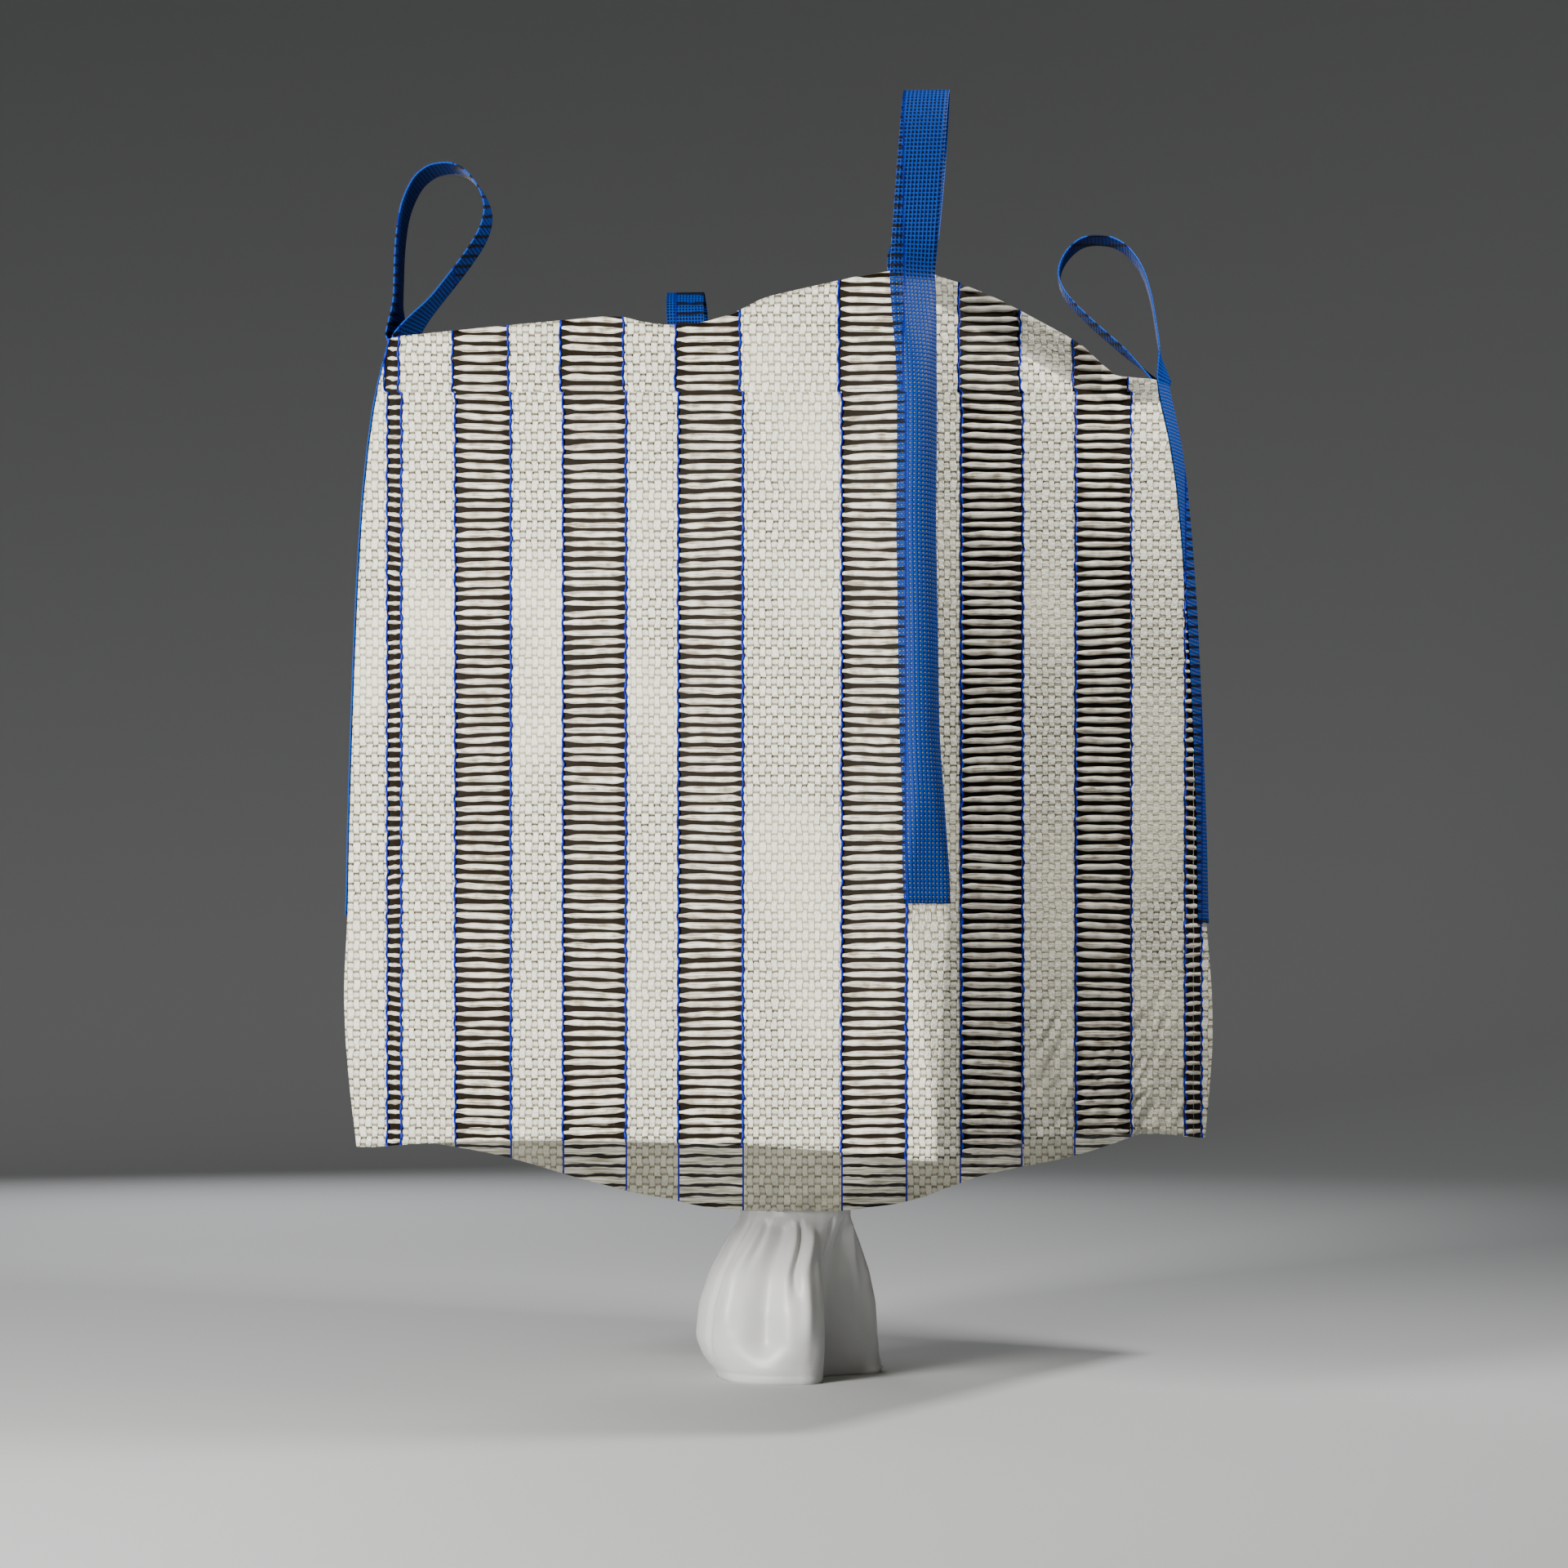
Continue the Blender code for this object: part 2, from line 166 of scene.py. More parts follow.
def soft_table(table, at, spread):
    """A table read with its bends rounded off over a short distance."""
    shifts = np.linspace(-1.0, 1.0, 9)
    weights = 1.0 - 0.9 * np.abs(shifts)
    reads = [weight * read_table(table, at + shift * spread) for shift, weight in zip(shifts, weights)]
    return sum(reads) / weights.sum()


def smooth_step(low, high, at):
    part = np.clip((at - low) / (high - low), 0.0, 1.0)
    return part * part * (3.0 - 2.0 * part)


def corner_reach(steps, flat, turn):
    """Places across a corner, along its flat and outwards, for lengths from its middle."""
    along = np.zeros_like(steps)
    outward = np.zeros_like(steps)
    length = np.abs(steps) / CORNER_PIECES
    for piece in range(CORNER_PIECES):
        here = (piece + 0.5) * length
        angle = math.radians(45.0) * np.clip((here - flat) / (turn - flat), 0.0, 1.0)
        along += length * np.cos(angle)
        outward -= length * np.sin(angle)
    return np.copysign(along, steps), outward


def corner_pull(corner, level):
    """How far a corner is held in by its strap at one level."""
    table, way_x, way_y = CORNER_PULLS[corner]
    return soft_table(table, level, 0.04) * np.array((way_x, way_y))


def corner_plan(corner, level):
    """Plan points across one corner, from its last face to its next one."""
    side_x, side_y = CORNER_SIGNS[corner]
    half = soft_table(HALF_WIDTH, level, 0.03)
    wrapped = corner in (1, 3)
    flat = soft_table(CORNER_FLAT, level, 0.02) if wrapped else 0.0
    turn = soft_table(CORNER_TURN if wrapped else SIDE_TURN, level, 0.02)
    steps = np.linspace(-CORNER_HALF, CORNER_HALF, 2 * CORNER_COLUMNS + 1)
    along, outward = corner_reach(steps, flat, turn)
    sharp = along[-1] + outward[-1]
    out = np.array((side_x, side_y)) / math.sqrt(2.0)
    across = np.array((-out[1], out[0]))
    middle = np.array((side_x * half, side_y * half)) + corner_pull(corner, level) - out * sharp
    return middle + outward[:, None] * out + along[:, None] * across


def lay_row(level):
    """One row of points round the bag, from the middle of the front's left corner."""
    corners = [corner_plan(corner, level) for corner in range(4)]
    parts = []
    for side in range(4):
        start = corners[side][-1]
        end = corners[(side + 1) % 4][0]
        share = np.linspace(0.0, 1.0, FACE_COLUMNS + 1)[:-1]
        length = np.hypot(*(end - start))
        out = np.array((end[1] - start[1], start[0] - end[0])) / length
        held = -0.5 * (corner_pull(side, level) + corner_pull((side + 1) % 4, level)) @ out
        swell = soft_table(FRONT_SWELL if side in (0, 2) else SIDE_SWELL, level, 0.05) + FACE_HOLD * held
        bow = swell * (1.0 - (2.0 * share - 1.0) ** 2)
        face = start + (end - start) * share[:, None] + bow[:, None] * out
        parts += [corners[side][CORNER_COLUMNS:-1], face,
                  corners[(side + 1) % 4][:CORNER_COLUMNS]]
    return np.concatenate(parts)


levels = np.linspace(HEM_Z, TOP_Z, ROWS + 1)
places = np.clip((np.arange(SIDE_COLUMNS) - CORNER_COLUMNS) / FACE_COLUMNS, 0.0, 1.0) * 2.0 - 1.0
between_corners = np.abs(places) < 0.999
front_change = soft_table(FRONT_EDGE, places, 0.05) * between_corners
side_change = soft_table(SIDE_EDGE, places, 0.05) * between_corners
top_change = np.tile(np.concatenate((front_change, side_change)), 2)
hem_change = np.tile(HEM_RISE * (1.0 - np.abs(places) ** 2.5), 4)
heights = (levels[:, None] + top_change * smooth_step(1.30, TOP_Z, levels)[:, None]
           + hem_change * (1.0 - smooth_step(HEM_Z, 0.52, levels))[:, None])
tube = np.zeros((ROWS + 1, AROUND, 3))
for row, level in enumerate(levels):
    tube[row, :, :2] = lay_row(level)
tube[:, :, 2] = heights


def outward_normals(points):
    """Unit normals of the closed rows of points."""
    round_the_bag = np.roll(points, -1, axis=1) - np.roll(points, 1, axis=1)
    upwards = np.gradient(points, axis=0)
    normals = np.cross(round_the_bag, upwards)
    return normals / np.linalg.norm(normals, axis=2, keepdims=True)


def ripple(across, level, waves):
    """Sum of slanting soft waves: each is amplitude, across, upwards and phase."""
    return sum(size * np.sin(along * across + rise * level + phase)
               for size, along, rise, phase in waves)


SLACK_WAVES = ((0.0016, 5.0, 3.1, 0.4), (0.0012, -8.2, 6.3, 1.9),
               (0.0009, 14.7, 9.1, 2.7), (0.0006, 23.0, -17.0, 0.8))
CREASE_WAVES = ((0.00055, 31.0, 44.0, 0.3), (0.0004, -38.0, 61.0, 1.2))
SLANT_WAVES = ((0.0030, 84.0, -62.0, 0.0), (0.0018, 118.0, -80.0, 2.1))
WAVES_AROUND = 3.96
CURL_START = 1.564
CURL_REACH = 0.025
CURL_DROP = 0.005

level_column = levels[:, None]
column_place = np.tile(places, 4)
column_side = np.repeat(np.arange(4), SIDE_COLUMNS)
on_side_face = column_side % 2
free_cloth = 1.0 - np.abs(column_place) ** 6
run = np.arange(AROUND) * (WAVES_AROUND / AROUND)
curl = np.clip((level_column - CURL_START) / (TOP_Z - CURL_START), 0.0, 1.0)
curl = curl * on_side_face * (1.0 - column_place ** 4)
slack = ripple(run, level_column, SLACK_WAVES)
creases = ripple(run, level_column, CREASE_WAVES) * (1.0 - smooth_step(0.40, 0.68, level_column))
slanted = ripple(run, level_column, SLANT_WAVES) * smooth_step(-0.5, 0.3, column_place)
slanted = slanted * (1.0 - smooth_step(0.50, 0.66, level_column)) * on_side_face
tube += (free_cloth * (slack + CURL_REACH * curl))[:, :, None] * outward_normals(tube)
tube[:, :, 2] -= CURL_DROP * curl
tube += (free_cloth * (creases + slanted))[:, :, None] * outward_normals(tube)
tube_normals = outward_normals(tube)

# The pattern stands upright and level as seen from the viewpoint, so its two coordinates are
# a point's sideways and upward place there. On the far sides it is turned half round.
FAR_LEAN = 0.3
REFERENCE_ROW = 32
VIEW_DISTANCE = 4.859
view_right = np.array((math.cos(VIEW_TURN), math.sin(VIEW_TURN), 0.0))
view_ahead = np.array((-math.sin(VIEW_TURN), math.cos(VIEW_TURN), 0.0))


def seen_place(points, depth=None):
    """Sideways and upward place as seen, at the distance of the bag's middle."""
    reach = points - np.array(VIEW_POINT)
    ahead = reach @ view_ahead if depth is None else depth
    away = ahead * math.cos(VIEW_RISE) + reach[..., 2] * math.sin(VIEW_RISE)
    above = reach[..., 2] * math.cos(VIEW_RISE) - ahead * math.sin(VIEW_RISE)
    return (reach @ view_right) / away * VIEW_DISTANCE, above / away * VIEW_DISTANCE


HALF_TURN = np.array((-1.0, -1.0, 1.0))
strips_on_side = []
for side in range(4):
    columns = (np.arange(SIDE_COLUMNS + 1) + side * SIDE_COLUMNS) % AROUND
    seen = seen_place(tube[:, columns] * (1.0 if side < 2 else HALF_TURN))[0]
    if side == 3:
        seen = seen[REFERENCE_ROW] + FAR_LEAN * (seen - seen[REFERENCE_ROW])
    strips_on_side.append(np.maximum.accumulate(seen, axis=1) + np.arange(SIDE_COLUMNS + 1) * 1e-7)

depth = (tube - np.array(VIEW_POINT)) @ view_ahead
far_share = np.clip(np.arange(AROUND) / SIDE_COLUMNS - 2.0, 0.0, 2.0) / 2.0
far_depth = depth[:, 2 * SIDE_COLUMNS, None] * (1.0 - far_share) + depth[:, :1] * far_share
upward_on_tube = seen_place(tube, np.where(column_side >= 2, far_depth, depth))[1]

STRIP_SAMPLES = np.linspace(-0.74, 0.74, 741)
side_places = np.arange(SIDE_COLUMNS + 1)
columns_of_strips = [np.array([np.interp(STRIP_SAMPLES, row, side_places) for row in rows])
                     for rows in strips_on_side]


def row_of(level):
    return (level - HEM_Z) / (TOP_Z - HEM_Z) * ROWS


def mixed(table, row, column, wrap):
    """Table value between its four nearest points."""
    row = np.clip(row, 0.0, table.shape[0] - 1.000001)
    low_row = np.floor(row).astype(int)
    low_column = np.floor(column).astype(int)
    row_part = row - low_row
    column_part = column - low_column
    if table.ndim == 3:
        row_part = row_part[..., None]
        column_part = column_part[..., None]
    next_column = low_column + 1
    if wrap:
        low_column = low_column % table.shape[1]
        next_column = next_column % table.shape[1]
    below, above = [table[line, low_column] * (1.0 - column_part) + table[line, next_column] * column_part
                    for line in (low_row, low_row + 1)]
    return below * (1.0 - row_part) + above * row_part


def on_tube(column, level, lifted):
    """Points on the bag's cloth, lifted off it."""
    points = mixed(tube, row_of(level), column, True)
    return points + mixed(tube_normals, row_of(level), column, True) * lifted[..., None]


def strip_column(side, strip, level):
    """Column of the tube at a strip's place on one side."""
    sample = (strip - STRIP_SAMPLES[0]) / (STRIP_SAMPLES[1] - STRIP_SAMPLES[0])
    sample = np.clip(sample, 0.0, len(STRIP_SAMPLES) - 1.001)
    return mixed(columns_of_strips[side], row_of(level), sample, False) + side * SIDE_COLUMNS


def upward_at(column, level):
    return mixed(upward_on_tube, row_of(level), column, True)


GUESS_SCALE = 0.95
GUESS_MIDDLE = 0.95
SOLVE_PASSES = 7
SOLVE_SHARE = 0.9
EDGE_FADE = 0.002


def on_strip(side, strip, upward, lifted):
    """Points on one side of the bag at a strip's place and a weft's height."""
    strip = strip - TOP_HEM_SHIFT * (upward > TOP_HEM)
    level = upward * GUESS_SCALE + GUESS_MIDDLE
    for _ in range(SOLVE_PASSES):
        level = np.clip(level, HEM_Z, TOP_Z)
        level = level + SOLVE_SHARE * (upward - upward_at(strip_column(side, strip, level), level))
    level = np.clip(level, HEM_Z, TOP_Z)
    fade = np.clip(np.minimum(level - HEM_Z, TOP_Z - level) / EDGE_FADE, 0.0, 1.0)
    return on_tube(strip_column(side, strip, level), level, lifted * fade)


def grid_piece(name, points):
    """A grid sheet with its points put in place row by row."""
    build = bmesh.new()
    bmesh.ops.create_grid(build, x_segments=points.shape[1] - 1, y_segments=points.shape[0] - 1, size=1.0)
    piece = linked_piece(name, build)
    mesh = piece.data
    mesh.vertices.foreach_set("co", points.astype(np.float32).reshape(-1))
    mesh.polygons.foreach_set("use_smooth", [True] * len(mesh.polygons))
    mesh.update()
    return piece


def closed_rows(rows):
    """Rows of points round a piece, each with its first point again at its end."""
    points = np.stack(rows)
    return np.concatenate((points, points[:, :1]), axis=1)


def write_map(mesh, across, upwards, name="cloth"):
    """UV map in metres from one value of each kind for each corner of each face."""
    layer = mesh.uv_layers.new(name=name)
    layer.data.foreach_set("uv", np.stack((across, upwards), axis=1).astype(np.float32).reshape(-1))


def grid_corners(mesh, columns):
    """Row and column of each face corner's point in a grid, and the column of its face."""
    vertices = np.empty(len(mesh.loops), dtype=np.int32)
    mesh.loops.foreach_get("vertex_index", vertices)
    row, column = np.divmod(vertices, columns + 1)
    return row, column, np.arange(len(vertices)) // 4 % columns


WELD_REACH = 0.00001


def weld(mesh):
    """Points that lie on each other are made one, so that the piece closes on itself."""
    build = bmesh.new()
    build.from_mesh(mesh)
    bmesh.ops.remove_doubles(build, verts=build.verts, dist=WELD_REACH)
    build.to_mesh(mesh)
    build.free()


def thicken(piece, thickness, offset=-1.0):
    wall = piece.modifiers.new("thickness", 'SOLIDIFY')
    wall.thickness = thickness
    wall.offset = offset
    return wall


WARP_PITCH = 0.0098
WEFT_PITCH = 0.0156
TOP_HEM = 0.625
TOP_HEM_SHIFT = 0.0045
FRONT_VENTS = ((-0.6313, -0.6091), (-0.5232, -0.4347), (-0.3514, -0.2512), (-0.1679, -0.0651),
               (0.0924, 0.1952))
SIDE_VENTS = ((0.2811, 0.3788), (0.4634, 0.5519), (0.6378, 0.6638))
VENTS_OF_SIDE = (FRONT_VENTS, SIDE_VENTS, FRONT_VENTS, SIDE_VENTS)
VENT_DEPTH = 0.003
VENT_EDGE = (0.001, 0.012)
HEM_FOLD = 0.0008
CLOTH_THICK = 0.0011

strip_of_column = np.concatenate([rows[:, :-1] for rows in strips_on_side], axis=1)
sunk = np.zeros((ROWS + 1, AROUND))
for start, end in FRONT_VENTS + SIDE_VENTS:
    inside = np.minimum(strip_of_column - start, end - strip_of_column)
    sunk = np.maximum(sunk, smooth_step(*VENT_EDGE, inside))
shell_lift = HEM_FOLD * (upward_on_tube > TOP_HEM) - VENT_DEPTH * sunk

body = grid_piece("woven_body", closed_rows(tube + shell_lift[:, :, None] * tube_normals))
row, column, face_column = grid_corners(body.data, AROUND)
side = face_column // SIDE_COLUMNS
write_map(body.data, np.stack(strips_on_side)[side, row, column - side * SIDE_COLUMNS],
          upward_on_tube[row, column % AROUND])
weld(body.data)
wall = thicken(body, CLOTH_THICK)
wall.material_offset = 1
wall.material_offset_rim = 0


def is_socket(value):
    return isinstance(value, bpy.types.NodeSocket)


def give(value, socket):
    """A socket is linked on, and a number or a colour is set."""
    if is_socket(value):
        value.id_data.links.new(value, socket)
    elif socket.type == 'RGBA':
        socket.default_value = (*value, 1.0)
    else:
        socket.default_value = value


def node_beside(kind, *values):
    """A new node in the tree of the first socket among the values."""
    return [value for value in values if is_socket(value)][0].id_data.nodes.new(kind)


def maths(kind, *values):
    """A Math node on sockets and numbers."""
    node = node_beside('ShaderNodeMath', *values)
    node.operation = kind
    for value, socket in zip(values, node.inputs):
        give(value, socket)
    return node.outputs[0]


def plus(total, *others):
    for other in others:
        total = maths('ADD', total, other)
    return total


def times(product, *others):
    for other in others:
        product = maths('MULTIPLY', product, other)
    return product


def minus(first, second):
    return maths('SUBTRACT', first, second)


def distance_from(value, place):
    return maths('ABSOLUTE', minus(value, place))


def soft_edge(value, low, high):
    """0 below low, 1 above high and a soft turn between."""
    node = node_beside('ShaderNodeMapRange', value)
    node.interpolation_type = 'SMOOTHSTEP'
    for label, given in (("Value", value), ("From Min", low), ("From Max", high)):
        give(given, node.inputs[label])
    return node.outputs["Result"]


def faded(value, low, high):
    """1 below low, 0 above high."""
    return minus(1.0, soft_edge(value, low, high))


def colour_mix(factor, first, second):
    node = node_beside('ShaderNodeMix', factor, first, second)
    node.data_type = 'RGBA'
    colours = [socket for socket in node.inputs if socket.type == 'RGBA']
    for value, socket in zip((factor, first, second), (node.inputs["Factor"], *colours)):
        give(value, socket)
    return [socket for socket in node.outputs if socket.type == 'RGBA'][0]


def layered(colour, *layers):
    """A colour with others laid over it, each by its mask and its strength."""
    for mask, strength, over in layers:
        colour = colour_mix(times(mask, strength), colour, over)
    return colour


def noise(place, scale, detail, roughness=0.5, distortion=0.0, output="Fac"):
    node = node_beside('ShaderNodeTexNoise', place)
    for label, value in (("Vector", place), ("Scale", scale), ("Detail", detail),
                         ("Roughness", roughness), ("Distortion", distortion)):
        give(value, node.inputs[label])
    return node.outputs[output]


def stretched(place, scale):
    node = node_beside('ShaderNodeVectorMath', place)
    node.operation = 'MULTIPLY'
    give(place, node.inputs[0])
    give(scale, node.inputs[1])
    return node.outputs[0]


def parts_of(vector, kind='ShaderNodeSeparateXYZ'):
    node = node_beside(kind, vector)
    give(vector, node.inputs[0])
    return node.outputs


def pair_of(across, upward):
    """The two coordinates as one place."""
    node = node_beside('ShaderNodeCombineXYZ', across)
    give(across, node.inputs[0])
    give(upward, node.inputs[1])
    return node.outputs[0]


def chance_of(across, upward):
    """A number by chance for each pair of whole coordinates."""
    node = node_beside('ShaderNodeTexWhiteNoise', across)
    give(pair_of(across, upward), node.inputs["Vector"])
    return node.outputs["Value"]


def part_of(value, pitch, wander, share):
    """Cell number and place inside the cell, for a coordinate that wanders a little."""
    moved = plus(maths('DIVIDE', value, pitch), times(minus(wander, 0.5), share))
    cell = maths('FLOOR', moved)
    return cell, minus(moved, cell)


def new_group(name, outputs):
    """A node group that reads the pattern's two coordinates and puts out numbers."""
    group = bpy.data.node_groups.new(name, 'ShaderNodeTree')
    for way, labels in (('INPUT', ("Across", "Upward")), ('OUTPUT', outputs)):
        for label in labels:
            group.interface.new_socket(name=label, in_out=way, socket_type='NodeSocketFloat')
    given = group.nodes.new('NodeGroupInput').outputs
    return group, given["Across"], given["Upward"], group.nodes.new('NodeGroupOutput').inputs


def use_group(group, across, upward):
    node = node_beside('ShaderNodeGroup', across)
    node.node_tree = group
    give(across, node.inputs["Across"])
    give(upward, node.inputs["Upward"])
    return node.outputs


FLOAT_REACH = 0.15


def build_weave_group():
    """Plain weave of flat tapes: painted shadow lines and ticks under the ends of the upright ones, painted
    shade in their low cells, and the relief.
    """
    group, across, upward, end = new_group("plain_weave", ("Line", "Tick", "Shade", "Height", "Tone"))
    wander = parts_of(noise(pair_of(across, upward), 42.0, 2.0, output="Color"), 'ShaderNodeSeparateColor')
    cell_x, in_x = part_of(across, WARP_PITCH, wander[0], 1.1)
    cell_y, in_y = part_of(upward, WEFT_PITCH, wander[1], 0.35)
    over = maths('GREATER_THAN', maths('PINGPONG', plus(cell_x, cell_y), 1.0), 0.5)
    under = minus(1.0, over)
    side_gap = maths('PINGPONG', in_x, 0.5)
    end_gap = maths('PINGPONG', in_y, 0.5)
    lower_end = maths('GREATER_THAN', in_y, 0.5)
    # Painted shadow: thin lines and ticks under the ends of the upright tapes.
    end_line = times(faded(distance_from(end_gap, FLOAT_REACH), 0.05, 0.12), under,
                     plus(0.30, times(lower_end, 0.50)))
    side_line = times(faded(side_gap, 0.02, 0.13), 0.24)
    tick = times(faded(side_gap, 0.14, 0.26), faded(distance_from(end_gap, FLOAT_REACH + 0.05), 0.08, 0.15),
                 under, plus(0.45, times(lower_end, 0.55)))
    # Painted shade: the level cells are darker towards their ends and sides, the upright ones at their feet.
    near_end = times(faded(end_gap, FLOAT_REACH + 0.02, FLOAT_REACH + 0.21), under)
    dips = times(faded(side_gap, 0.0, 0.30), under)
    foot_of_float = times(faded(in_y, 0.0, 0.35), over)
    upright = maths('MAXIMUM', over, faded(end_gap, FLOAT_REACH - 0.02, FLOAT_REACH + 0.02))
    upright_height = times(soft_edge(side_gap, -0.02, 0.12), plus(0.72, times(end_gap, over, 0.36)))
    level_height = plus(0.22, times(soft_edge(end_gap, FLOAT_REACH, 0.34), 0.46))
    give(maths('MAXIMUM', end_line, side_line), end["Line"])
    give(tick, end["Tick"])
    give(plus(times(under, 0.16), times(near_end, 0.62), times(dips, 0.28), times(foot_of_float, 0.14)),
         end["Shade"])
    give(plus(times(upright_height, upright), times(level_height, minus(1.0, upright))), end["Height"])
    give(chance_of(cell_x, cell_y), end["Tone"])
    return group


THREAD_HALF = 0.0014


def build_vent_group():
    """Where the cloth has its open strips and their edge threads, by a strip's place."""
    group, across, upward, end = new_group("vent_strips", ("Vent", "Thread", "Gap"))
    vent = 0.0
    thread = 0.0
    for low, high in FRONT_VENTS + SIDE_VENTS:
        half = (high - low) / 2.0
        from_middle = distance_from(across, (low + high) / 2.0)
        vent = plus(vent, maths('LESS_THAN', from_middle, half))
        thread = plus(thread, maths('COMPARE', from_middle, half, THREAD_HALF))
    wander = noise(pair_of(times(across, 26.0), times(upward, 70.0)), 1.0, 2.0)
    in_row = part_of(upward, WEFT_PITCH, wander, 0.55)[1]
    give(maths('MINIMUM', vent, 1.0), end["Vent"])
    give(maths('MINIMUM', thread, 1.0), end["Thread"])
    give(faded(maths('PINGPONG', in_row, 0.5), 0.13, 0.19), end["Gap"])
    return group


WRINKLE_WAVES = ((273.0, -92.0, 9.0, 0.50), (176.0, -104.0, 6.0, 0.62))


def build_wrinkle_group():
    """Slanting wrinkles low down on the side faces, as a height."""
    group, across, upward, end = new_group("slanting_wrinkles", ("Height",))
    place = pair_of(across, upward)
    wander = noise(place, 11.0, 2.0)
    total = 0.0
    for along, rise, bend, share in WRINKLE_WAVES:
        turn = plus(times(across, along), times(upward, rise), times(wander, bend))
        total = plus(times(maths('SINE', turn), share), total)
    sideways = times(soft_edge(across, 0.26, 0.33), faded(across, 0.59, 0.62))
    patch = soft_edge(noise(place, 13.0, 1.0), 0.32, 0.50)
    give(times(total, sideways, faded(upward, -0.48, -0.28), patch), end["Height"])
    return group


weave_group = build_weave_group()
vent_group = build_vent_group()
wrinkle_group = build_wrinkle_group()

WRINKLE_ON_CLOTH = 4.2
WRINKLE_ON_TAPE = 4.6
CLOTH_WHITE = (0.930, 0.920, 0.790)
# Darker cloth colour, used both for random tone and for painted shade.
CLOTH_TONE_AND_SHADE = (0.250, 0.225, 0.140)
CLOTH_CREAM = (0.900, 0.850, 0.640)
# Painted shadow under the ends of the upright tapes of the weave.
MARK_PAINTED_SHADOW = (0.035, 0.024, 0.008)
# Painted shade for the open strips: near black with lighter specks.
GAP_PAINTED_SHADE = (0.003, 0.0018, 0.0005)
GAP_SHADE_SPECK = (0.060, 0.038, 0.014)
THREAD_BLUE = (0.0, 0.004, 0.30)
# Painted shade of the band under the right face's top edge.
RIM_PAINTED_SHADE = (0.150, 0.150, 0.125)
RIM_SHADE_STRENGTH = 0.65
RIM_FACE_X = 0.42
RIM_FALL = 0.593
RIM_FOLD = (0.909, 0.915)
RIM_REACH = (0.245, 0.514)
RIM_END_START = 0.546
RIM_END_FOLD = (0.606, 0.612)


def map_place(tree, map_name):
    """A map's place and its two coordinates."""
    node = tree.nodes.new('ShaderNodeUVMap')
    node.uv_map = map_name
    parts = parts_of(node.outputs["UV"])
    return node.outputs["UV"], parts[0], parts[1]


def pattern_place(tree, map_name):
    """The same for the pattern, whose strips jump a little at the top hem."""
    place, across, upward = map_place(tree, map_name)
    jump = times(maths('GREATER_THAN', upward, TOP_HEM), TOP_HEM_SHIFT)
    return place, plus(across, jump), upward


def turned_rim_shade(across, upward):
    """Painted shade on the right face's turned-out rim, as far as the fold below it."""
    object_place = parts_of(node_beside('ShaderNodeTexCoord', across).outputs["Object"])
    on_face = times(maths('GREATER_THAN', object_place[0], RIM_FACE_X),
                    maths('GREATER_THAN', across, RIM_REACH[0]))
    long_rim = times(soft_edge(plus(upward, times(across, RIM_FALL)), *RIM_FOLD),
                     maths('LESS_THAN', across, RIM_REACH[1]))
    end_rim = times(soft_edge(upward, *RIM_END_FOLD), maths('GREATER_THAN', across, RIM_END_START))
    return times(on_face, maths('MAXIMUM', long_rim, end_rim))


def new_material(name):
    material = bpy.data.materials.new(name)
    material.use_nodes = True
    return material, material.node_tree


def finished(material, colour, roughness, specular, height, distance, strength):
    """The material with its colour, its gloss and its relief set on its shader."""
    shader = material.node_tree.nodes["Principled BSDF"].inputs
    bump = material.node_tree.nodes.new('ShaderNodeBump')
    for value, socket in ((colour, shader["Base Color"]), (roughness, shader["Roughness"]),
                          (specular, shader["Specular IOR Level"]), (height, bump.inputs["Height"]),
                          (distance, bump.inputs["Distance"]), (strength, bump.inputs["Strength"]),
                          (bump.outputs["Normal"], shader["Normal"])):
        give(value, socket)
    return material


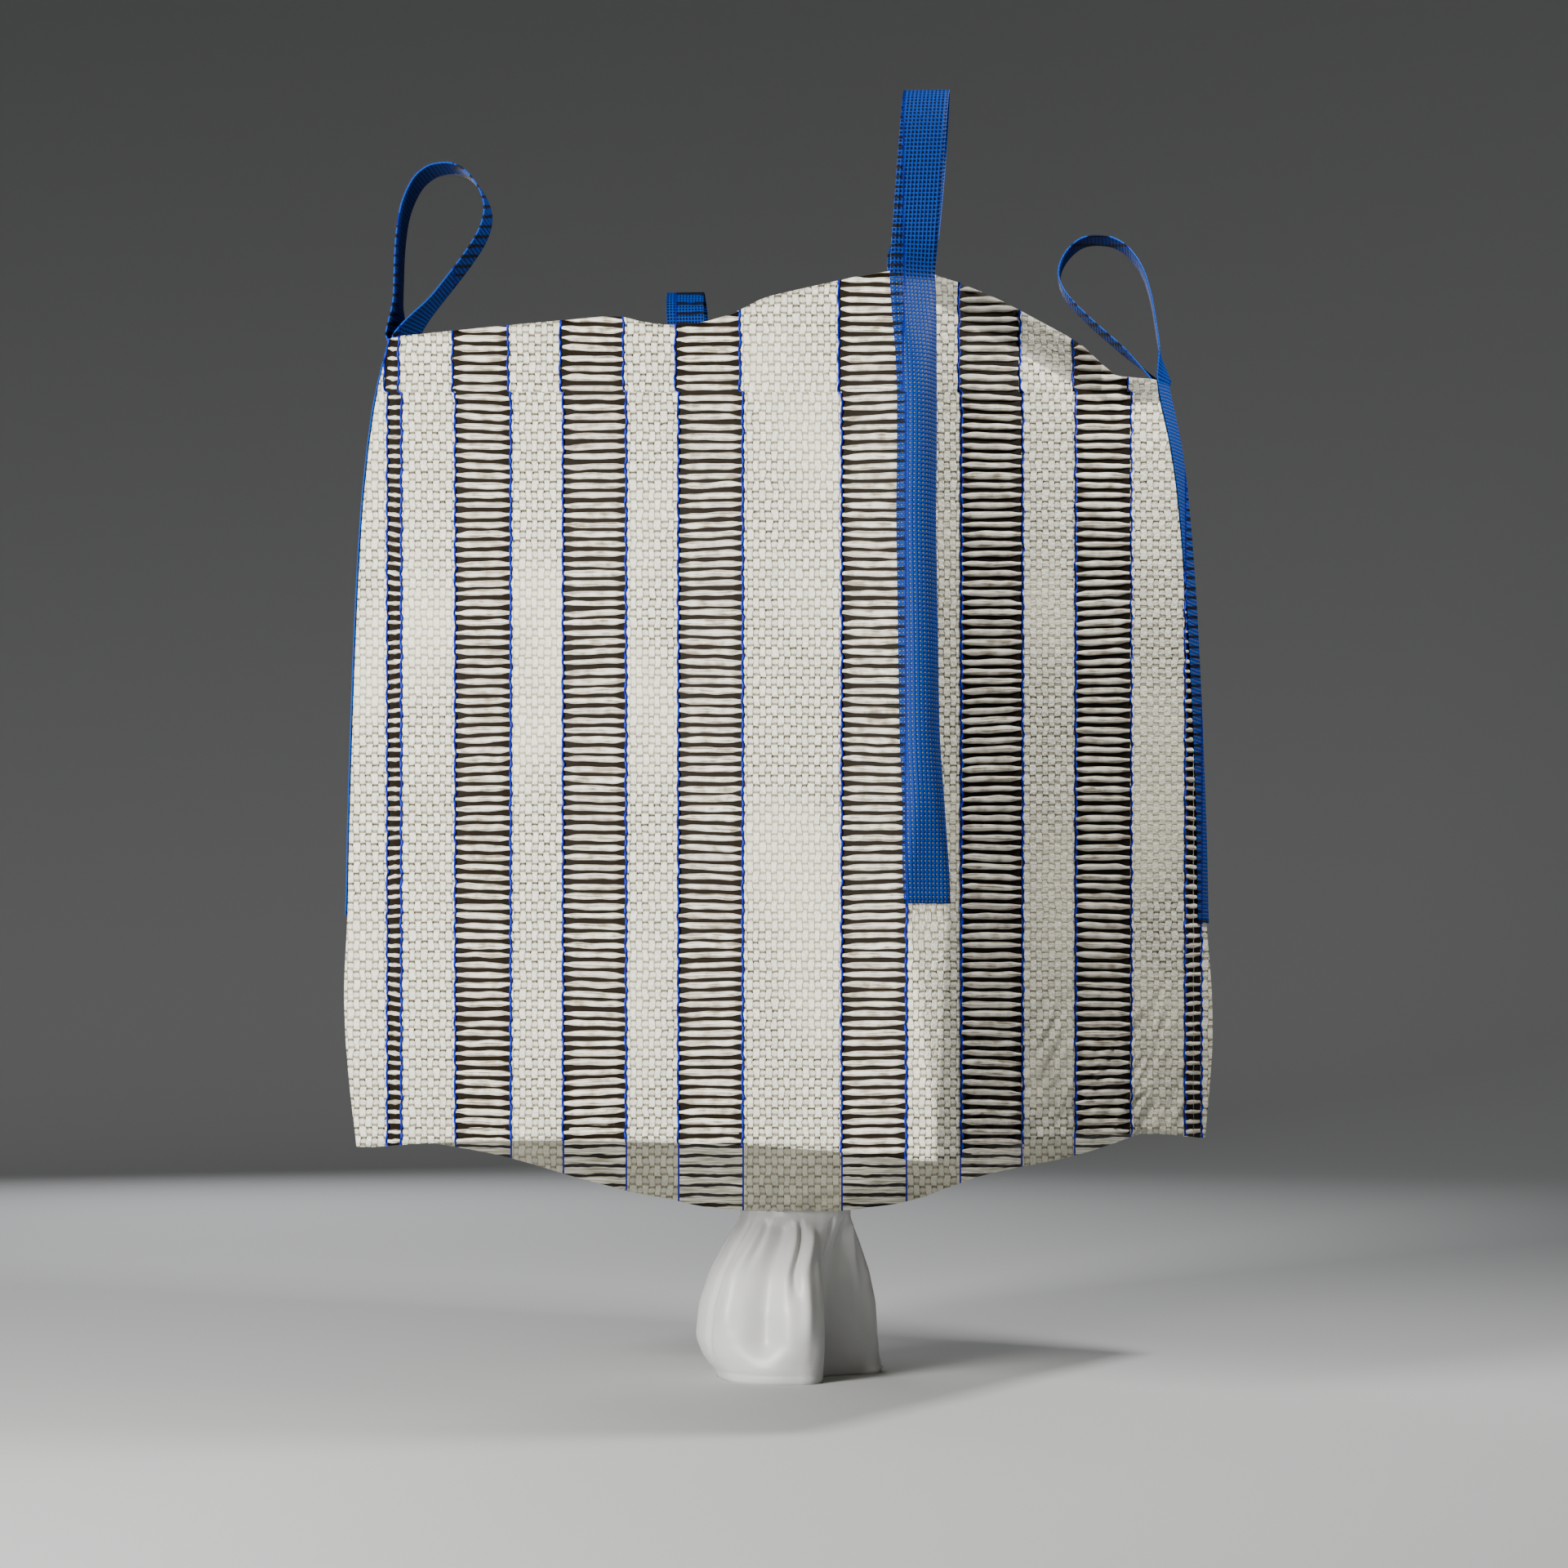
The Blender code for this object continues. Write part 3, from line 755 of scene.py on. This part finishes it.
def cloth_material(name, inner, painted_shade, relief):
    """The woven cloth, with painted shade in the openings of its vent strips."""
    material, tree = new_material(name)
    place, across, upward = pattern_place(tree, "cloth")
    weave = use_group(weave_group, across, upward)
    vents = use_group(vent_group, across, upward)
    fibres = noise(stretched(place, (1.0, 0.55, 1.0)), 620.0, 3.0)
    shadow_marks = plus(0.40, times(soft_edge(noise(place, 90.0, 3.0), 0.36, 0.60), 0.60))
    # Random tone by cell, blotch and fibre, the weave's painted shade, painted shadow lines and ticks, and a
    # warm tint.
    white = layered(CLOTH_WHITE,
                    (weave["Tone"], 0.20, CLOTH_TONE_AND_SHADE),
                    (soft_edge(noise(place, 20.0, 3.0), 0.45, 0.75), 0.14, CLOTH_TONE_AND_SHADE),
                    (soft_edge(fibres, 0.42, 0.62), 0.38, CLOTH_TONE_AND_SHADE),
                    (weave["Shade"], 0.95, CLOTH_TONE_AND_SHADE),
                    (times(weave["Line"], shadow_marks), 0.95, MARK_PAINTED_SHADOW),
                    (times(weave["Tick"], shadow_marks), 1.0, MARK_PAINTED_SHADOW),
                    (soft_edge(noise(place, 2.7, 2.0), 0.46, 0.66), 0.40, CLOTH_CREAM))
    # Painted shade all over the cloth, by the share given.
    white = colour_mix(painted_shade, white, CLOTH_TONE_AND_SHADE)
    # Painted shade on the right face's turned-out rim.
    white = layered(white, (turned_rim_shade(across, upward), RIM_SHADE_STRENGTH, RIM_PAINTED_SHADE))
    # Painted shade in the vent strips: the solid cloth under the open tapes is made near black.
    dark = colour_mix(soft_edge(noise(place, 1500.0, 2.0, 0.6), 0.50, 0.75), GAP_PAINTED_SHADE, GAP_SHADE_SPECK)
    if inner:
        streaks = noise(stretched(place, (22.0, 620.0, 1.0)), 1.0, 3.0)
        tape = colour_mix(soft_edge(streaks, 0.3, 0.7), CLOTH_TONE_AND_SHADE, CLOTH_WHITE)
        # Inside, the tapes are painted, with painted shade between them.
        dark = colour_mix(vents["Gap"], tape, dark)
    colour = colour_mix(vents["Vent"], white, dark)
    if inner:
        colour = colour_mix(vents["Thread"], colour, THREAD_BLUE)
    height = plus(weave["Height"], times(fibres, 0.35), times(noise(place, 170.0, 4.0, 0.6), 1.6))
    height = plus(times(height, minus(1.0, vents["Vent"])),
                  times(use_group(wrinkle_group, across, upward)["Height"], WRINKLE_ON_CLOTH))
    return finished(material, colour, plus(0.50, times(fibres, 0.2)), 0.08, height, relief, 1.0)


body.data.materials.append(cloth_material("woven_cloth", False, 0.0, 0.0020))
body.data.materials.append(cloth_material("woven_cloth_inside", True, 0.0, 0.0020))
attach(body, "root")
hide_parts("bag_body")


# The open weft tapes of the vent strips: flat crinkled tapes that run on from the weave
# on both sides, a finger's width apart, with nothing woven into them but the edge threads.
TAPE_ROWS = (-1.0, -0.80, -0.30, 0.25, 0.78, 1.0)
TAPE_LIFTS = (-0.0014, 0.0001, 0.0013, 0.0012, 0.0002, -0.0014)
TAPE_HALF = 0.0050
TAPE_STEP = 0.0056
TAPE_SLANT = 0.0042
MIDDLE_WAVER = 0.0011
EDGE_WAVER = 0.0014
FOLD_WAVER = 0.0009
TAPE_CLEARANCE = 0.0003
TAPE_HALF_LIMITS = (0.0024, 0.0072)
TAPE_NARROWING = 0.0028
TAPE_SHADE = (0.190, 0.155, 0.092)
TAPE_WHITE = (0.850, 0.820, 0.700)
TAPE_GREY = (0.400, 0.345, 0.300)
TAPE_EDGE = (0.150, 0.120, 0.075)
LOWEST_TAPE = int(-0.60 / WEFT_PITCH)
HIGHEST_TAPE = int(0.86 / WEFT_PITCH)


def drift(draw, share):
    """A slow random wander along a tape, within about one unit."""
    return sum(draw.uniform(-0.55, 0.55) / (1.0 + 0.35 * wave) * np.cos(math.pi * wave * share)
               for wave in range(6))


def make_vent(side, start, end, seed):
    """All open tapes of one vent strip, each with its own wavering edges."""
    draw = np.random.default_rng(seed)
    columns = max(4, int(round((end - start) / TAPE_STEP)))
    share = np.linspace(0.0, 1.0, columns + 1)
    from_thread = np.minimum(share, 1.0 - share) * (end - start)
    half = TAPE_HALF - TAPE_NARROWING * (1.0 - smooth_step(0.0, 0.020, from_thread))
    resting = smooth_step(-0.002, 0.010, from_thread)
    rows = []
    for tape in range(LOWEST_TAPE, HIGHEST_TAPE):
        slant = TAPE_SLANT * math.sin(0.19 * tape + seed) * math.sin(0.083 * tape + 2.0 * seed)
        middle = (tape + 0.5) * WEFT_PITCH + slant * (share - 0.5) + MIDDLE_WAVER * drift(draw, share)
        upper = half + EDGE_WAVER * drift(draw, share)
        lower = half + EDGE_WAVER * drift(draw, share)
        fold = FOLD_WAVER * drift(draw, share)
        for place, rest in zip(TAPE_ROWS, TAPE_LIFTS):
            reach = place * np.clip(upper if place > 0.0 else lower, *TAPE_HALF_LIMITS)
            lifted = (rest + place * fold) * resting + TAPE_CLEARANCE
            rows.append(on_strip(side, start + (end - start) * share, middle + reach, lifted))
    piece = grid_piece("vent_tapes", np.stack(rows))
    mesh = piece.data
    row, column, face_column = grid_corners(mesh, columns)
    tape, place = np.divmod(row, len(TAPE_ROWS))
    write_map(mesh, column / columns * (end - start) + start,
              (tape + LOWEST_TAPE + 0.5) * WEFT_PITCH + np.array(TAPE_ROWS)[place] * TAPE_HALF)
    build = bmesh.new()
    build.from_mesh(mesh)
    build.faces.ensure_lookup_table()
    unwanted = [face for face in build.faces
                if (face.index // columns) % len(TAPE_ROWS) == len(TAPE_ROWS) - 1 or face.calc_area() < 1e-8]
    bmesh.ops.delete(build, geom=unwanted, context='FACES')
    build.to_mesh(mesh)
    build.free()
    return piece


def joined(name, parts):
    """Several pieces made one mesh."""
    build = bmesh.new()
    for part in parts:
        data = part.data
        build.from_mesh(data)
        bpy.data.objects.remove(part)
        bpy.data.meshes.remove(data)
    return linked_piece(name, build)


def tape_material():
    """Flat polypropylene tape with lengthwise creases and darker edges."""
    material, tree = new_material("open_tape")
    place, across, upward = pattern_place(tree, "cloth")
    streaks = noise(stretched(place, (16.0, 560.0, 1.0)), 1.0, 4.0, 0.65, 0.7)
    tone = plus(times(streaks, 0.7), times(noise(place, 60.0, 2.0), 0.3))
    tape = maths('DIVIDE', upward, WEFT_PITCH)
    chance = chance_of(maths('FLOOR', tape), maths('FLOOR', times(across, 8.0)))
    # The last layer is painted shade on the right face's turned-out rim.
    colour = layered(colour_mix(soft_edge(tone, 0.40, 0.55), TAPE_SHADE, TAPE_WHITE),
                     (chance, 0.40, TAPE_GREY),
                     (faded(maths('PINGPONG', tape, 0.5), 0.18, 0.30), 0.65, TAPE_EDGE),
                     (turned_rim_shade(across, upward), RIM_SHADE_STRENGTH, RIM_PAINTED_SHADE))
    height = plus(streaks, times(use_group(wrinkle_group, across, upward)["Height"], WRINKLE_ON_TAPE))
    return finished(material, colour, plus(0.38, times(streaks, 0.25)), 0.25, height, 0.0012, 0.9)


SIDE_NAMES = ("front", "right", "back", "left")
tape_finish = tape_material()
for side, side_name in enumerate(SIDE_NAMES):
    tapes = joined("vent_tapes_" + side_name,
                   [make_vent(side, start, end, side * 7 + index)
                    for index, (start, end) in enumerate(VENTS_OF_SIDE[side])])
    tapes.data.materials.append(tape_finish)
    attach(tapes, "root")


# The blue edge threads: a bound twisted thread along each edge of every vent strip, pulled
# in a little by each weft tape it holds. A thin pale one runs up the middle of the narrow
# strips of the side faces.
THREAD_RADIUS = 0.0016
CORE_RADIUS = 0.0007
CORE_STRIP = 0.6515
THREAD_SIDES = 6
THREAD_DEEP = (0.0, 0.001, 0.22)
# Painted highlight of the blue thread.
THREAD_PAINTED_HIGHLIGHT = (0.0, 0.014, 0.52)


def make_thread(side, strip, count, radius):
    """One thread, from the hem to the top edge, drawn in between the wefts."""
    rows = int(5.0 * (TOP_Z - HEM_Z) / WEFT_PITCH)
    level = HEM_Z + (TOP_Z - HEM_Z) * np.arange(rows + 1) / rows
    upward = upward_at(strip_column(side, strip, level), level)
    turn = 2.0 * math.pi * upward / WEFT_PITCH
    sway = (0.0006 * np.cos(turn) + 0.0008 * np.sin(0.31 * turn + count)
            + 0.0004 * np.sin(0.53 * turn + 2.0 * count))
    place = strip + sway * radius / THREAD_RADIUS - TOP_HEM_SHIFT * (upward > TOP_HEM)
    column = strip_column(side, place, level)
    out = np.full_like(level, 0.0010 + radius - THREAD_RADIUS * 0.5)
    middle = on_tube(column, level, out)
    aside = on_tube(column + 0.4, level, out) - middle
    aside /= np.linalg.norm(aside, axis=1, keepdims=True)
    away = np.cross(aside, np.gradient(middle, axis=0))
    away /= np.linalg.norm(away, axis=1, keepdims=True)
    swell = (radius * (1.0 + 0.18 * np.cos(turn)))[:, None]
    ring = [middle + swell * (math.cos(angle) * aside + math.sin(angle) * away)
            for angle in np.arange(THREAD_SIDES + 1) / THREAD_SIDES * 2.0 * math.pi]
    piece = grid_piece("edge_thread", np.stack(ring, axis=1))
    row, column, face_column = grid_corners(piece.data, THREAD_SIDES)
    write_map(piece.data, column / THREAD_SIDES, upward[row])
    weld(piece.data)
    return piece


def thread_material():
    material, tree = new_material("blue_thread")
    place, round_thread, along = map_place(tree, "cloth")
    # Painted highlight at each turn of the twisted thread.
    turns = maths('PINGPONG', maths('DIVIDE', along, WEFT_PITCH * 1.35), 0.5)
    colour = colour_mix(soft_edge(turns, 0.12, 0.42), THREAD_DEEP, THREAD_PAINTED_HIGHLIGHT)
    ridge = maths('PINGPONG', plus(times(round_thread, 2.0), times(along, 300.0)), 0.5)
    return finished(material, colour, 0.55, 0.12, ridge, 0.0006, 0.5)


thread_finish = thread_material()
for side, side_name in enumerate(SIDE_NAMES):
    edges = [place for vent in VENTS_OF_SIDE[side] for place in vent]
    threads = joined("edge_threads_" + side_name,
                     [make_thread(side, place, side * 10 + index, THREAD_RADIUS)
                      for index, place in enumerate(edges)])
    threads.data.materials.append(thread_finish)
    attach(threads, "root")
    if side in (1, 3):
        core = make_thread(side, CORE_STRIP, side, CORE_RADIUS)
        core.name = "core_thread_" + side_name
        core.data.materials.append(tape_finish)
        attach(core, "root")


# The lifting loops: one blue webbing strap to each corner. It is laid down the outside of
# the corner, stands up in a teardrop over the top edge and runs down again inside.
STRAP_END = 0.715
INNER_END = 1.352
STRAP_THICK = 0.0024
STRAP_WIDTH = 0.066
LOOP_RISE = 0.267
LOOP_PATH = ((0.0, 0.0), (0.0, 0.045), (0.0, 0.10), (-0.001, 0.155), (-0.008, 0.205), (-0.025, 0.243),
             (-0.045, 0.261), (-0.064, 0.267), (-0.088, 0.267), (-0.108, 0.258),
             (-0.128, 0.238), (-0.141, 0.214), (-0.144, 0.190), (-0.134, 0.160),
             (-0.108, 0.122), (-0.070, 0.076), (-0.034, 0.034), (-0.012, 0.006))
LOOPS = (("front_left", -0.066, 1.03, 0.948, -45.0, -21.0, 0.0, -0.005),
         ("front_right", -0.033, 1.05, 1.05, 0.0, -19.0, 0.021, 0.0),
         ("back_right", -0.066, 0.905, 1.014, -45.0, -23.0, 0.0, -0.034),
         ("back_left", -0.033, 0.91, 0.91, 0.0, -19.0, 0.016, 0.0))
STRAP_COLUMNS = 12
OUTER_ROWS = 90
LOOP_ROWS = 90
INNER_ROWS = 26
OUTER_LIFT = 0.0012
INNER_LIFT = -0.0025


def smooth_point(before, start, end, after, part):
    """Point between two controls on a smooth line through them and their neighbours."""
    return 0.5 * (2 * start + (end - before) * part
                  + (2 * before - 5 * start + 4 * end - after) * part ** 2
                  + (3 * start - before - 3 * end + after) * part ** 3)


def lengths_along(points):
    steps = np.linalg.norm(np.diff(points, axis=0), axis=1)
    return np.concatenate(([0.0], np.cumsum(steps)))


def curve_through(controls, count):
    """Evenly spaced points on a smooth open line through the controls."""
    controls = np.array(controls)
    padded = np.vstack((2 * controls[0] - controls[1], controls, 2 * controls[-1] - controls[-2]))
    fine = []
    for index in range(1, len(padded) - 2):
        for part in np.linspace(0.0, 1.0, 12, endpoint=False):
            fine.append(smooth_point(*padded[index - 1:index + 3], part))
    fine = np.array(fine + [controls[-1]])
    run = lengths_along(fine)
    even = np.linspace(0.0, run[-1], count)
    return np.stack([np.interp(even, run, fine[:, axis]) for axis in range(fine.shape[1])], axis=1)


def columns_of_steps(corner, steps, level):
    """Columns of the tube at lengths from a corner's middle, where its face columns are wider."""
    last = corner * SIDE_COLUMNS - CORNER_COLUMNS
    row = int(round(row_of(level)))
    pitch = np.linalg.norm(tube[row, last - 1] - tube[row, last])
    beyond = np.minimum(steps + CORNER_HALF, 0.0) / pitch
    within = np.maximum(steps, -CORNER_HALF) / CORNER_HALF * CORNER_COLUMNS
    return corner * SIDE_COLUMNS + within + beyond


def strap_rows(corner, steps, strap_levels, lifted):
    """Rows of a strap's points on the cloth of its corner."""
    return [on_tube(columns_of_steps(corner, steps, level), np.full_like(steps, level),
                    np.full_like(steps, lifted)) for level in strap_levels]


def make_loop(corner):
    """One strap with its loop, as a thin closed band."""
    name, first, high, wide, foot_turn, top_turn, sideways, outwards = LOOPS[corner]
    diagonal = math.atan2(CORNER_SIGNS[corner][1], CORNER_SIGNS[corner][0])
    steps = np.linspace(first, first + STRAP_WIDTH, STRAP_COLUMNS + 1)
    flat_steps = np.linspace(-STRAP_WIDTH / 2.0, STRAP_WIDTH / 2.0, STRAP_COLUMNS + 1)
    rows = strap_rows(corner, steps, np.linspace(STRAP_END, TOP_Z - 0.004, OUTER_ROWS), OUTER_LIFT)
    middle = rows[-1][STRAP_COLUMNS // 2]
    for inward, rise in curve_through(LOOP_PATH, LOOP_ROWS)[1:]:
        turn = diagonal + math.radians(foot_turn + (top_turn - foot_turn) * smooth_step(-0.01, 0.07, rise))
        out = np.array((math.cos(turn), math.sin(turn), 0.0))
        across = np.array((-out[1], out[0], 0.0))
        share = rise / LOOP_RISE
        upwards = np.array((0.0, 0.0, 0.004 + rise * high))
        centre = middle + out * (inward * wide + outwards * share) + upwards
        rows.append(centre + (flat_steps + sideways * share)[:, None] * across)
    rows += strap_rows(corner, steps, np.linspace(TOP_Z - 0.006, INNER_END, INNER_ROWS), INNER_LIFT)
    points = np.stack(rows)
    piece = grid_piece("lifting_strap_" + name, points)
    row, column, face_column = grid_corners(piece.data, STRAP_COLUMNS)
    write_map(piece.data, column / STRAP_COLUMNS, lengths_along(points[:, STRAP_COLUMNS // 2])[row])
    write_map(piece.data, *seen_place(points[row, column]), "seen")
    thicken(piece, STRAP_THICK, 1.0).use_even_offset = True
    return piece


CORDS_ACROSS = 12
PICK_PITCH = 0.0062
LOOP_START = 0.893
WEBBING_DEEP = (0.0, 0.009, 0.085)
WEBBING_BLUE = (0.0, 0.026, 0.185)
# Painted highlight along the crests of the cords.
WEBBING_PAINTED_HIGHLIGHT = (0.004, 0.075, 0.460)
# Painted shade of the cloth seen through the net on the body, and painted darkness through it on the loops.
PAINTED_SHADE_UNDER_NET = (0.150, 0.140, 0.115)
PAINTED_DARK_THROUGH_LOOP = (0.0, 0.001, 0.012)
BAR_BLACK = (0.003, 0.003, 0.003)
LINE_BLUE = (0.0, 0.004, 0.160)


def webbing_material():
    """Open-woven blue webbing, with painted highlights on its cords and painted shade in its openings; the
    bars and threads of the vent strips run on over it.
    """
    material, tree = new_material("blue_webbing")
    place, across, along = map_place(tree, "cloth")
    from_cord = distance_from(maths('FRACT', times(across, float(CORDS_ACROSS))), 0.5)
    from_pick = distance_from(maths('FRACT', maths('DIVIDE', along, PICK_PITCH)), 0.5)
    on_loop = soft_edge(along, LOOP_START, LOOP_START + 0.006)
    wider = times(on_loop, 0.08)
    opening = times(faded(minus(from_cord, wider), 0.12, 0.22), faded(minus(from_pick, wider), 0.12, 0.22))
    # Random tone of the blue, then a painted highlight on the cords' crests.
    blue_wander = soft_edge(noise(stretched(place, (60.0, 240.0, 1.0)), 1.0, 2.0), 0.35, 0.65)
    crest_highlight = soft_edge(maths('MAXIMUM', from_cord, from_pick), 0.34, 0.5)
    blue = layered(colour_mix(blue_wander, WEBBING_DEEP, WEBBING_BLUE), (crest_highlight, 0.45, WEBBING_PAINTED_HIGHLIGHT))
    # The openings are painted: painted shade of the cloth under the net, painted darkness through the loops.
    colour = colour_mix(opening, blue, colour_mix(on_loop, PAINTED_SHADE_UNDER_NET, PAINTED_DARK_THROUGH_LOOP))
    seen_across, seen_upward = pattern_place(tree, "seen")[1:]
    vents = use_group(vent_group, seen_across, seen_upward)
    colour = layered(colour, (times(vents["Vent"], vents["Gap"]), 0.92, BAR_BLACK),
                     (vents["Thread"], 0.9, LINE_BLUE))
    height = minus(plus(from_cord, from_pick), times(opening, 0.8))
    return finished(material, colour, 0.60, 0.1, height, 0.0014, 0.75)


webbing_finish = webbing_material()
for corner in range(4):
    strap = make_loop(corner)
    strap.data.materials.append(webbing_finish)
    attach(strap, "root")
    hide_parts("lifting_loop_" + LOOPS[corner][0])


# The base panel: a square of the same cloth, sewn inside the hem. It sags in a shallow
# cone to the hole that the spout is gathered into.
FLANGE_LOW = 0.395
FLANGE_HIGH = 0.425
BASE_PROFILE = ((0.0, 0.262), (0.045, 0.262), (0.14, 0.268), (0.28, 0.284), (0.45, 0.311),
                (0.64, 0.342), (0.82, 0.370), (1.0, 0.395))
HOLE_RADIUS = 0.0885
BASE_ROWS = 44
BASE_INSIDE = 0.0042
BASE_THICK = 0.0012

rim_row = int(round(row_of(FLANGE_LOW)))
rim = tube[rim_row] - BASE_INSIDE * tube_normals[rim_row]
angle = np.arctan2(rim[:, 1], rim[:, 0])
round_the_hole = np.stack((np.cos(angle), np.sin(angle)), axis=1)
base_rows = []
for share in np.linspace(0.0, 1.0, BASE_ROWS + 1):
    inside = 0.05 < share < 0.97
    height = soft_table(BASE_PROFILE, share, 0.05) if inside else read_table(BASE_PROFILE, share)
    square = smooth_step(-0.35, 0.75, max(share, 0.1)) * min(share / 0.1, 1.0)
    ring = ((1.0 - square) * 0.5 * share + HOLE_RADIUS * (1.0 - share)) * round_the_hole
    ring = ring + square * share * rim[:, :2]
    gathers = 0.0035 * np.sin(26.0 * angle + 2.0 * np.sin(3.0 * angle)) * math.exp(-5.0 * share)
    soft = 0.004 * np.sin(7.0 * angle + 9.0 * share) + 0.0022 * np.sin(17.0 * angle - 14.0 * share + 1.0)
    drop = (gathers + soft * math.sin(math.pi * share)) * (share < 0.995)
    base_rows.append(np.column_stack((ring, height + drop)))
base_rows.append(np.column_stack((rim[:, :2], np.full(AROUND, FLANGE_HIGH))))
base_points = closed_rows(base_rows)
base = grid_piece("woven_base", base_points)
row, column, face_column = grid_corners(base.data, AROUND)
on_near_side = (face_column // SIDE_COLUMNS < 2)[:, None]
write_map(base.data, *seen_place(base_points[row, column] * np.where(on_near_side, 1.0, HALF_TURN)))
weld(base.data)
thicken(base, BASE_THICK)

# The base cloth is a darker copy: painted shade for its underside, which faces away from the light.
base.data.materials.append(cloth_material("base_cloth", True, 0.38, 0.0011))
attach(base, "root")
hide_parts("base_panel")


# The discharge spout: a sleeve of coated white cloth, gathered at its neck and folded
# at its foot, on which the bag stands.
NECK_RADIUS = 0.0872
SPOUT_FOOT = ((0.133, -0.010), (0.128, -0.066), (0.088, -0.118), (0.030, -0.138),
              (-0.030, -0.136), (-0.080, -0.112), (-0.112, -0.068), (-0.122, -0.008),
              (-0.119, 0.056), (-0.096, 0.116), (-0.045, 0.150), (0.012, 0.152),
              (0.040, 0.124), (0.040, 0.076), (0.046, 0.040), (0.082, 0.022))
SPOUT_BELLY = ((0.126, -0.014), (0.124, -0.070), (0.092, -0.124), (0.032, -0.152),
               (-0.038, -0.152), (-0.098, -0.126), (-0.142, -0.076), (-0.157, -0.008),
               (-0.149, 0.062), (-0.114, 0.126), (-0.050, 0.162), (0.010, 0.160),
               (0.044, 0.128), (0.032, 0.080), (0.030, 0.040), (0.072, 0.020))
SPOUT_TURNS = (4, 28, 54, 79, 103, 127, 152, 176, 202, 226, 250, 270, 288, 304, 322, 343)
SPOUT_SHARES = ((0.0, 1.0), (0.006, 1.0), (0.030, 0.35), (0.060, 0.0), (0.275, 0.0))
SPOUT_BELLY_SHARES = ((0.0, 0.0), (0.006, 0.0), (0.030, 0.65), (0.060, 1.0), (0.110, 0.93),
                      (0.160, 0.70), (0.210, 0.32), (0.244, 0.0), (0.275, 0.0))
SLEEVE_FOLDS = ((9.95, 0.3, 0.48, 0.024, 0.02, 0.25), (10.80, 0.45, 0.14, 0.013, 0.12, 0.25),
                (8.5, 0.1, 0.10, 0.005, 0.02, 0.25), (11.25, 0.6, 0.24, -0.007, 0.05, 0.24),
                (9.05, 0.35, 0.20, -0.006, 0.05, 0.25), (9.30, 0.25, 0.10, 0.007, 0.16, 0.25),
                (14.6, 0.0, 0.35, 0.006, 0.02, 0.25), (15.3, 0.1, 0.22, -0.005, 0.02, 0.25))
SPOUT_COLUMNS = 240
SPOUT_ROWS = 72
SPOUT_HEIGHT = 0.275
SLEEVE_ROUND = 0.62
PLEAT_DEPTH = 0.0070
SLEEVE_THICK = 0.0009


def closed_curve(controls, at):
    """Points on a smooth closed line through the controls, one unit for each control."""
    controls = np.array(controls)
    first = np.floor(at).astype(int)
    near = [controls[(first + shift) % len(controls)] for shift in (-1, 0, 1, 2)]
    return smooth_point(*near, (at - first)[:, None])


at = np.arange(SPOUT_COLUMNS) / SPOUT_COLUMNS * len(SPOUT_FOOT)
turns = np.radians(np.interp(at, np.arange(len(SPOUT_FOOT) + 1), SPOUT_TURNS + (SPOUT_TURNS[0] + 360,)))
foot = closed_curve(SPOUT_FOOT, at)
belly = closed_curve(SPOUT_BELLY, at)
neck = NECK_RADIUS * np.stack((np.cos(turns), -np.sin(turns)), axis=1)
seen_pleats = np.minimum(smooth_step(11.9, 12.6, at) + 1.0 - smooth_step(7.4, 8.2, at), 1.0)
valleys = np.exp(-(np.sin(6.5 * turns + 0.9 * np.sin(2.0 * turns + 0.4)) / 0.38) ** 2) * seen_pleats
spout_rows = []
for height in np.linspace(0.0, SPOUT_HEIGHT, SPOUT_ROWS + 1):
    foot_share = soft_table(SPOUT_SHARES, height, 0.008) if height > 0.008 else 1.0
    belly_read = soft_table(SPOUT_BELLY_SHARES, height, 0.012)
    belly_share = belly_read if height > 0.012 else read_table(SPOUT_BELLY_SHARES, height)
    line = foot_share * foot + belly_share * belly + (1.0 - foot_share - belly_share) * neck
    radial = line / np.linalg.norm(line, axis=1, keepdims=True)
    gather = smooth_step(0.13, 0.21, height) * (1.0 - smooth_step(0.238, 0.250, height))
    pleats = -PLEAT_DEPTH * gather * valleys
    for place, drift_up, width, deep, low, high in SLEEVE_FOLDS:
        centre = place + drift_up * smooth_step(0.16, 0.235, height)
        span = smooth_step(low, low + 0.05, height) * (1.0 - smooth_step(high - 0.02, high, height))
        pleats = pleats - deep * span * np.exp(-((at - centre) / width) ** 2)
    line = line + radial * pleats[:, None]
    spout_rows.append(line[:, :1] * view_right - line[:, 1:] * view_ahead + np.array((0.0, 0.0, height)))
spout = grid_piece("discharge_sleeve", closed_rows(spout_rows))
row, column, face_column = grid_corners(spout.data, SPOUT_COLUMNS)
write_map(spout.data, column * (SLEEVE_ROUND / SPOUT_COLUMNS), row * (SPOUT_HEIGHT / SPOUT_ROWS))
weld(spout.data)
thicken(spout, SLEEVE_THICK)


SLEEVE_SHADE = (0.47, 0.47, 0.47)
SLEEVE_WHITE = (0.52, 0.52, 0.515)


def sleeve_material():
    """Coated cloth: smooth and a little glossy, with a few soft creases."""
    material, tree = new_material("coated_sleeve")
    place = map_place(tree, "cloth")[0]
    creases = noise(stretched(place, (16.0, 6.0, 1.0)), 1.0, 2.0, 0.5, 0.5)
    colour = colour_mix(soft_edge(creases, 0.35, 0.65), SLEEVE_SHADE, SLEEVE_WHITE)
    height = plus(creases, times(noise(place, 700.0, 2.0), 0.012))
    return finished(material, colour, 0.40, 0.5, height, 0.010, 0.6)


spout.data.materials.append(sleeve_material())
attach(spout, "root")
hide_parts("discharge_spout")
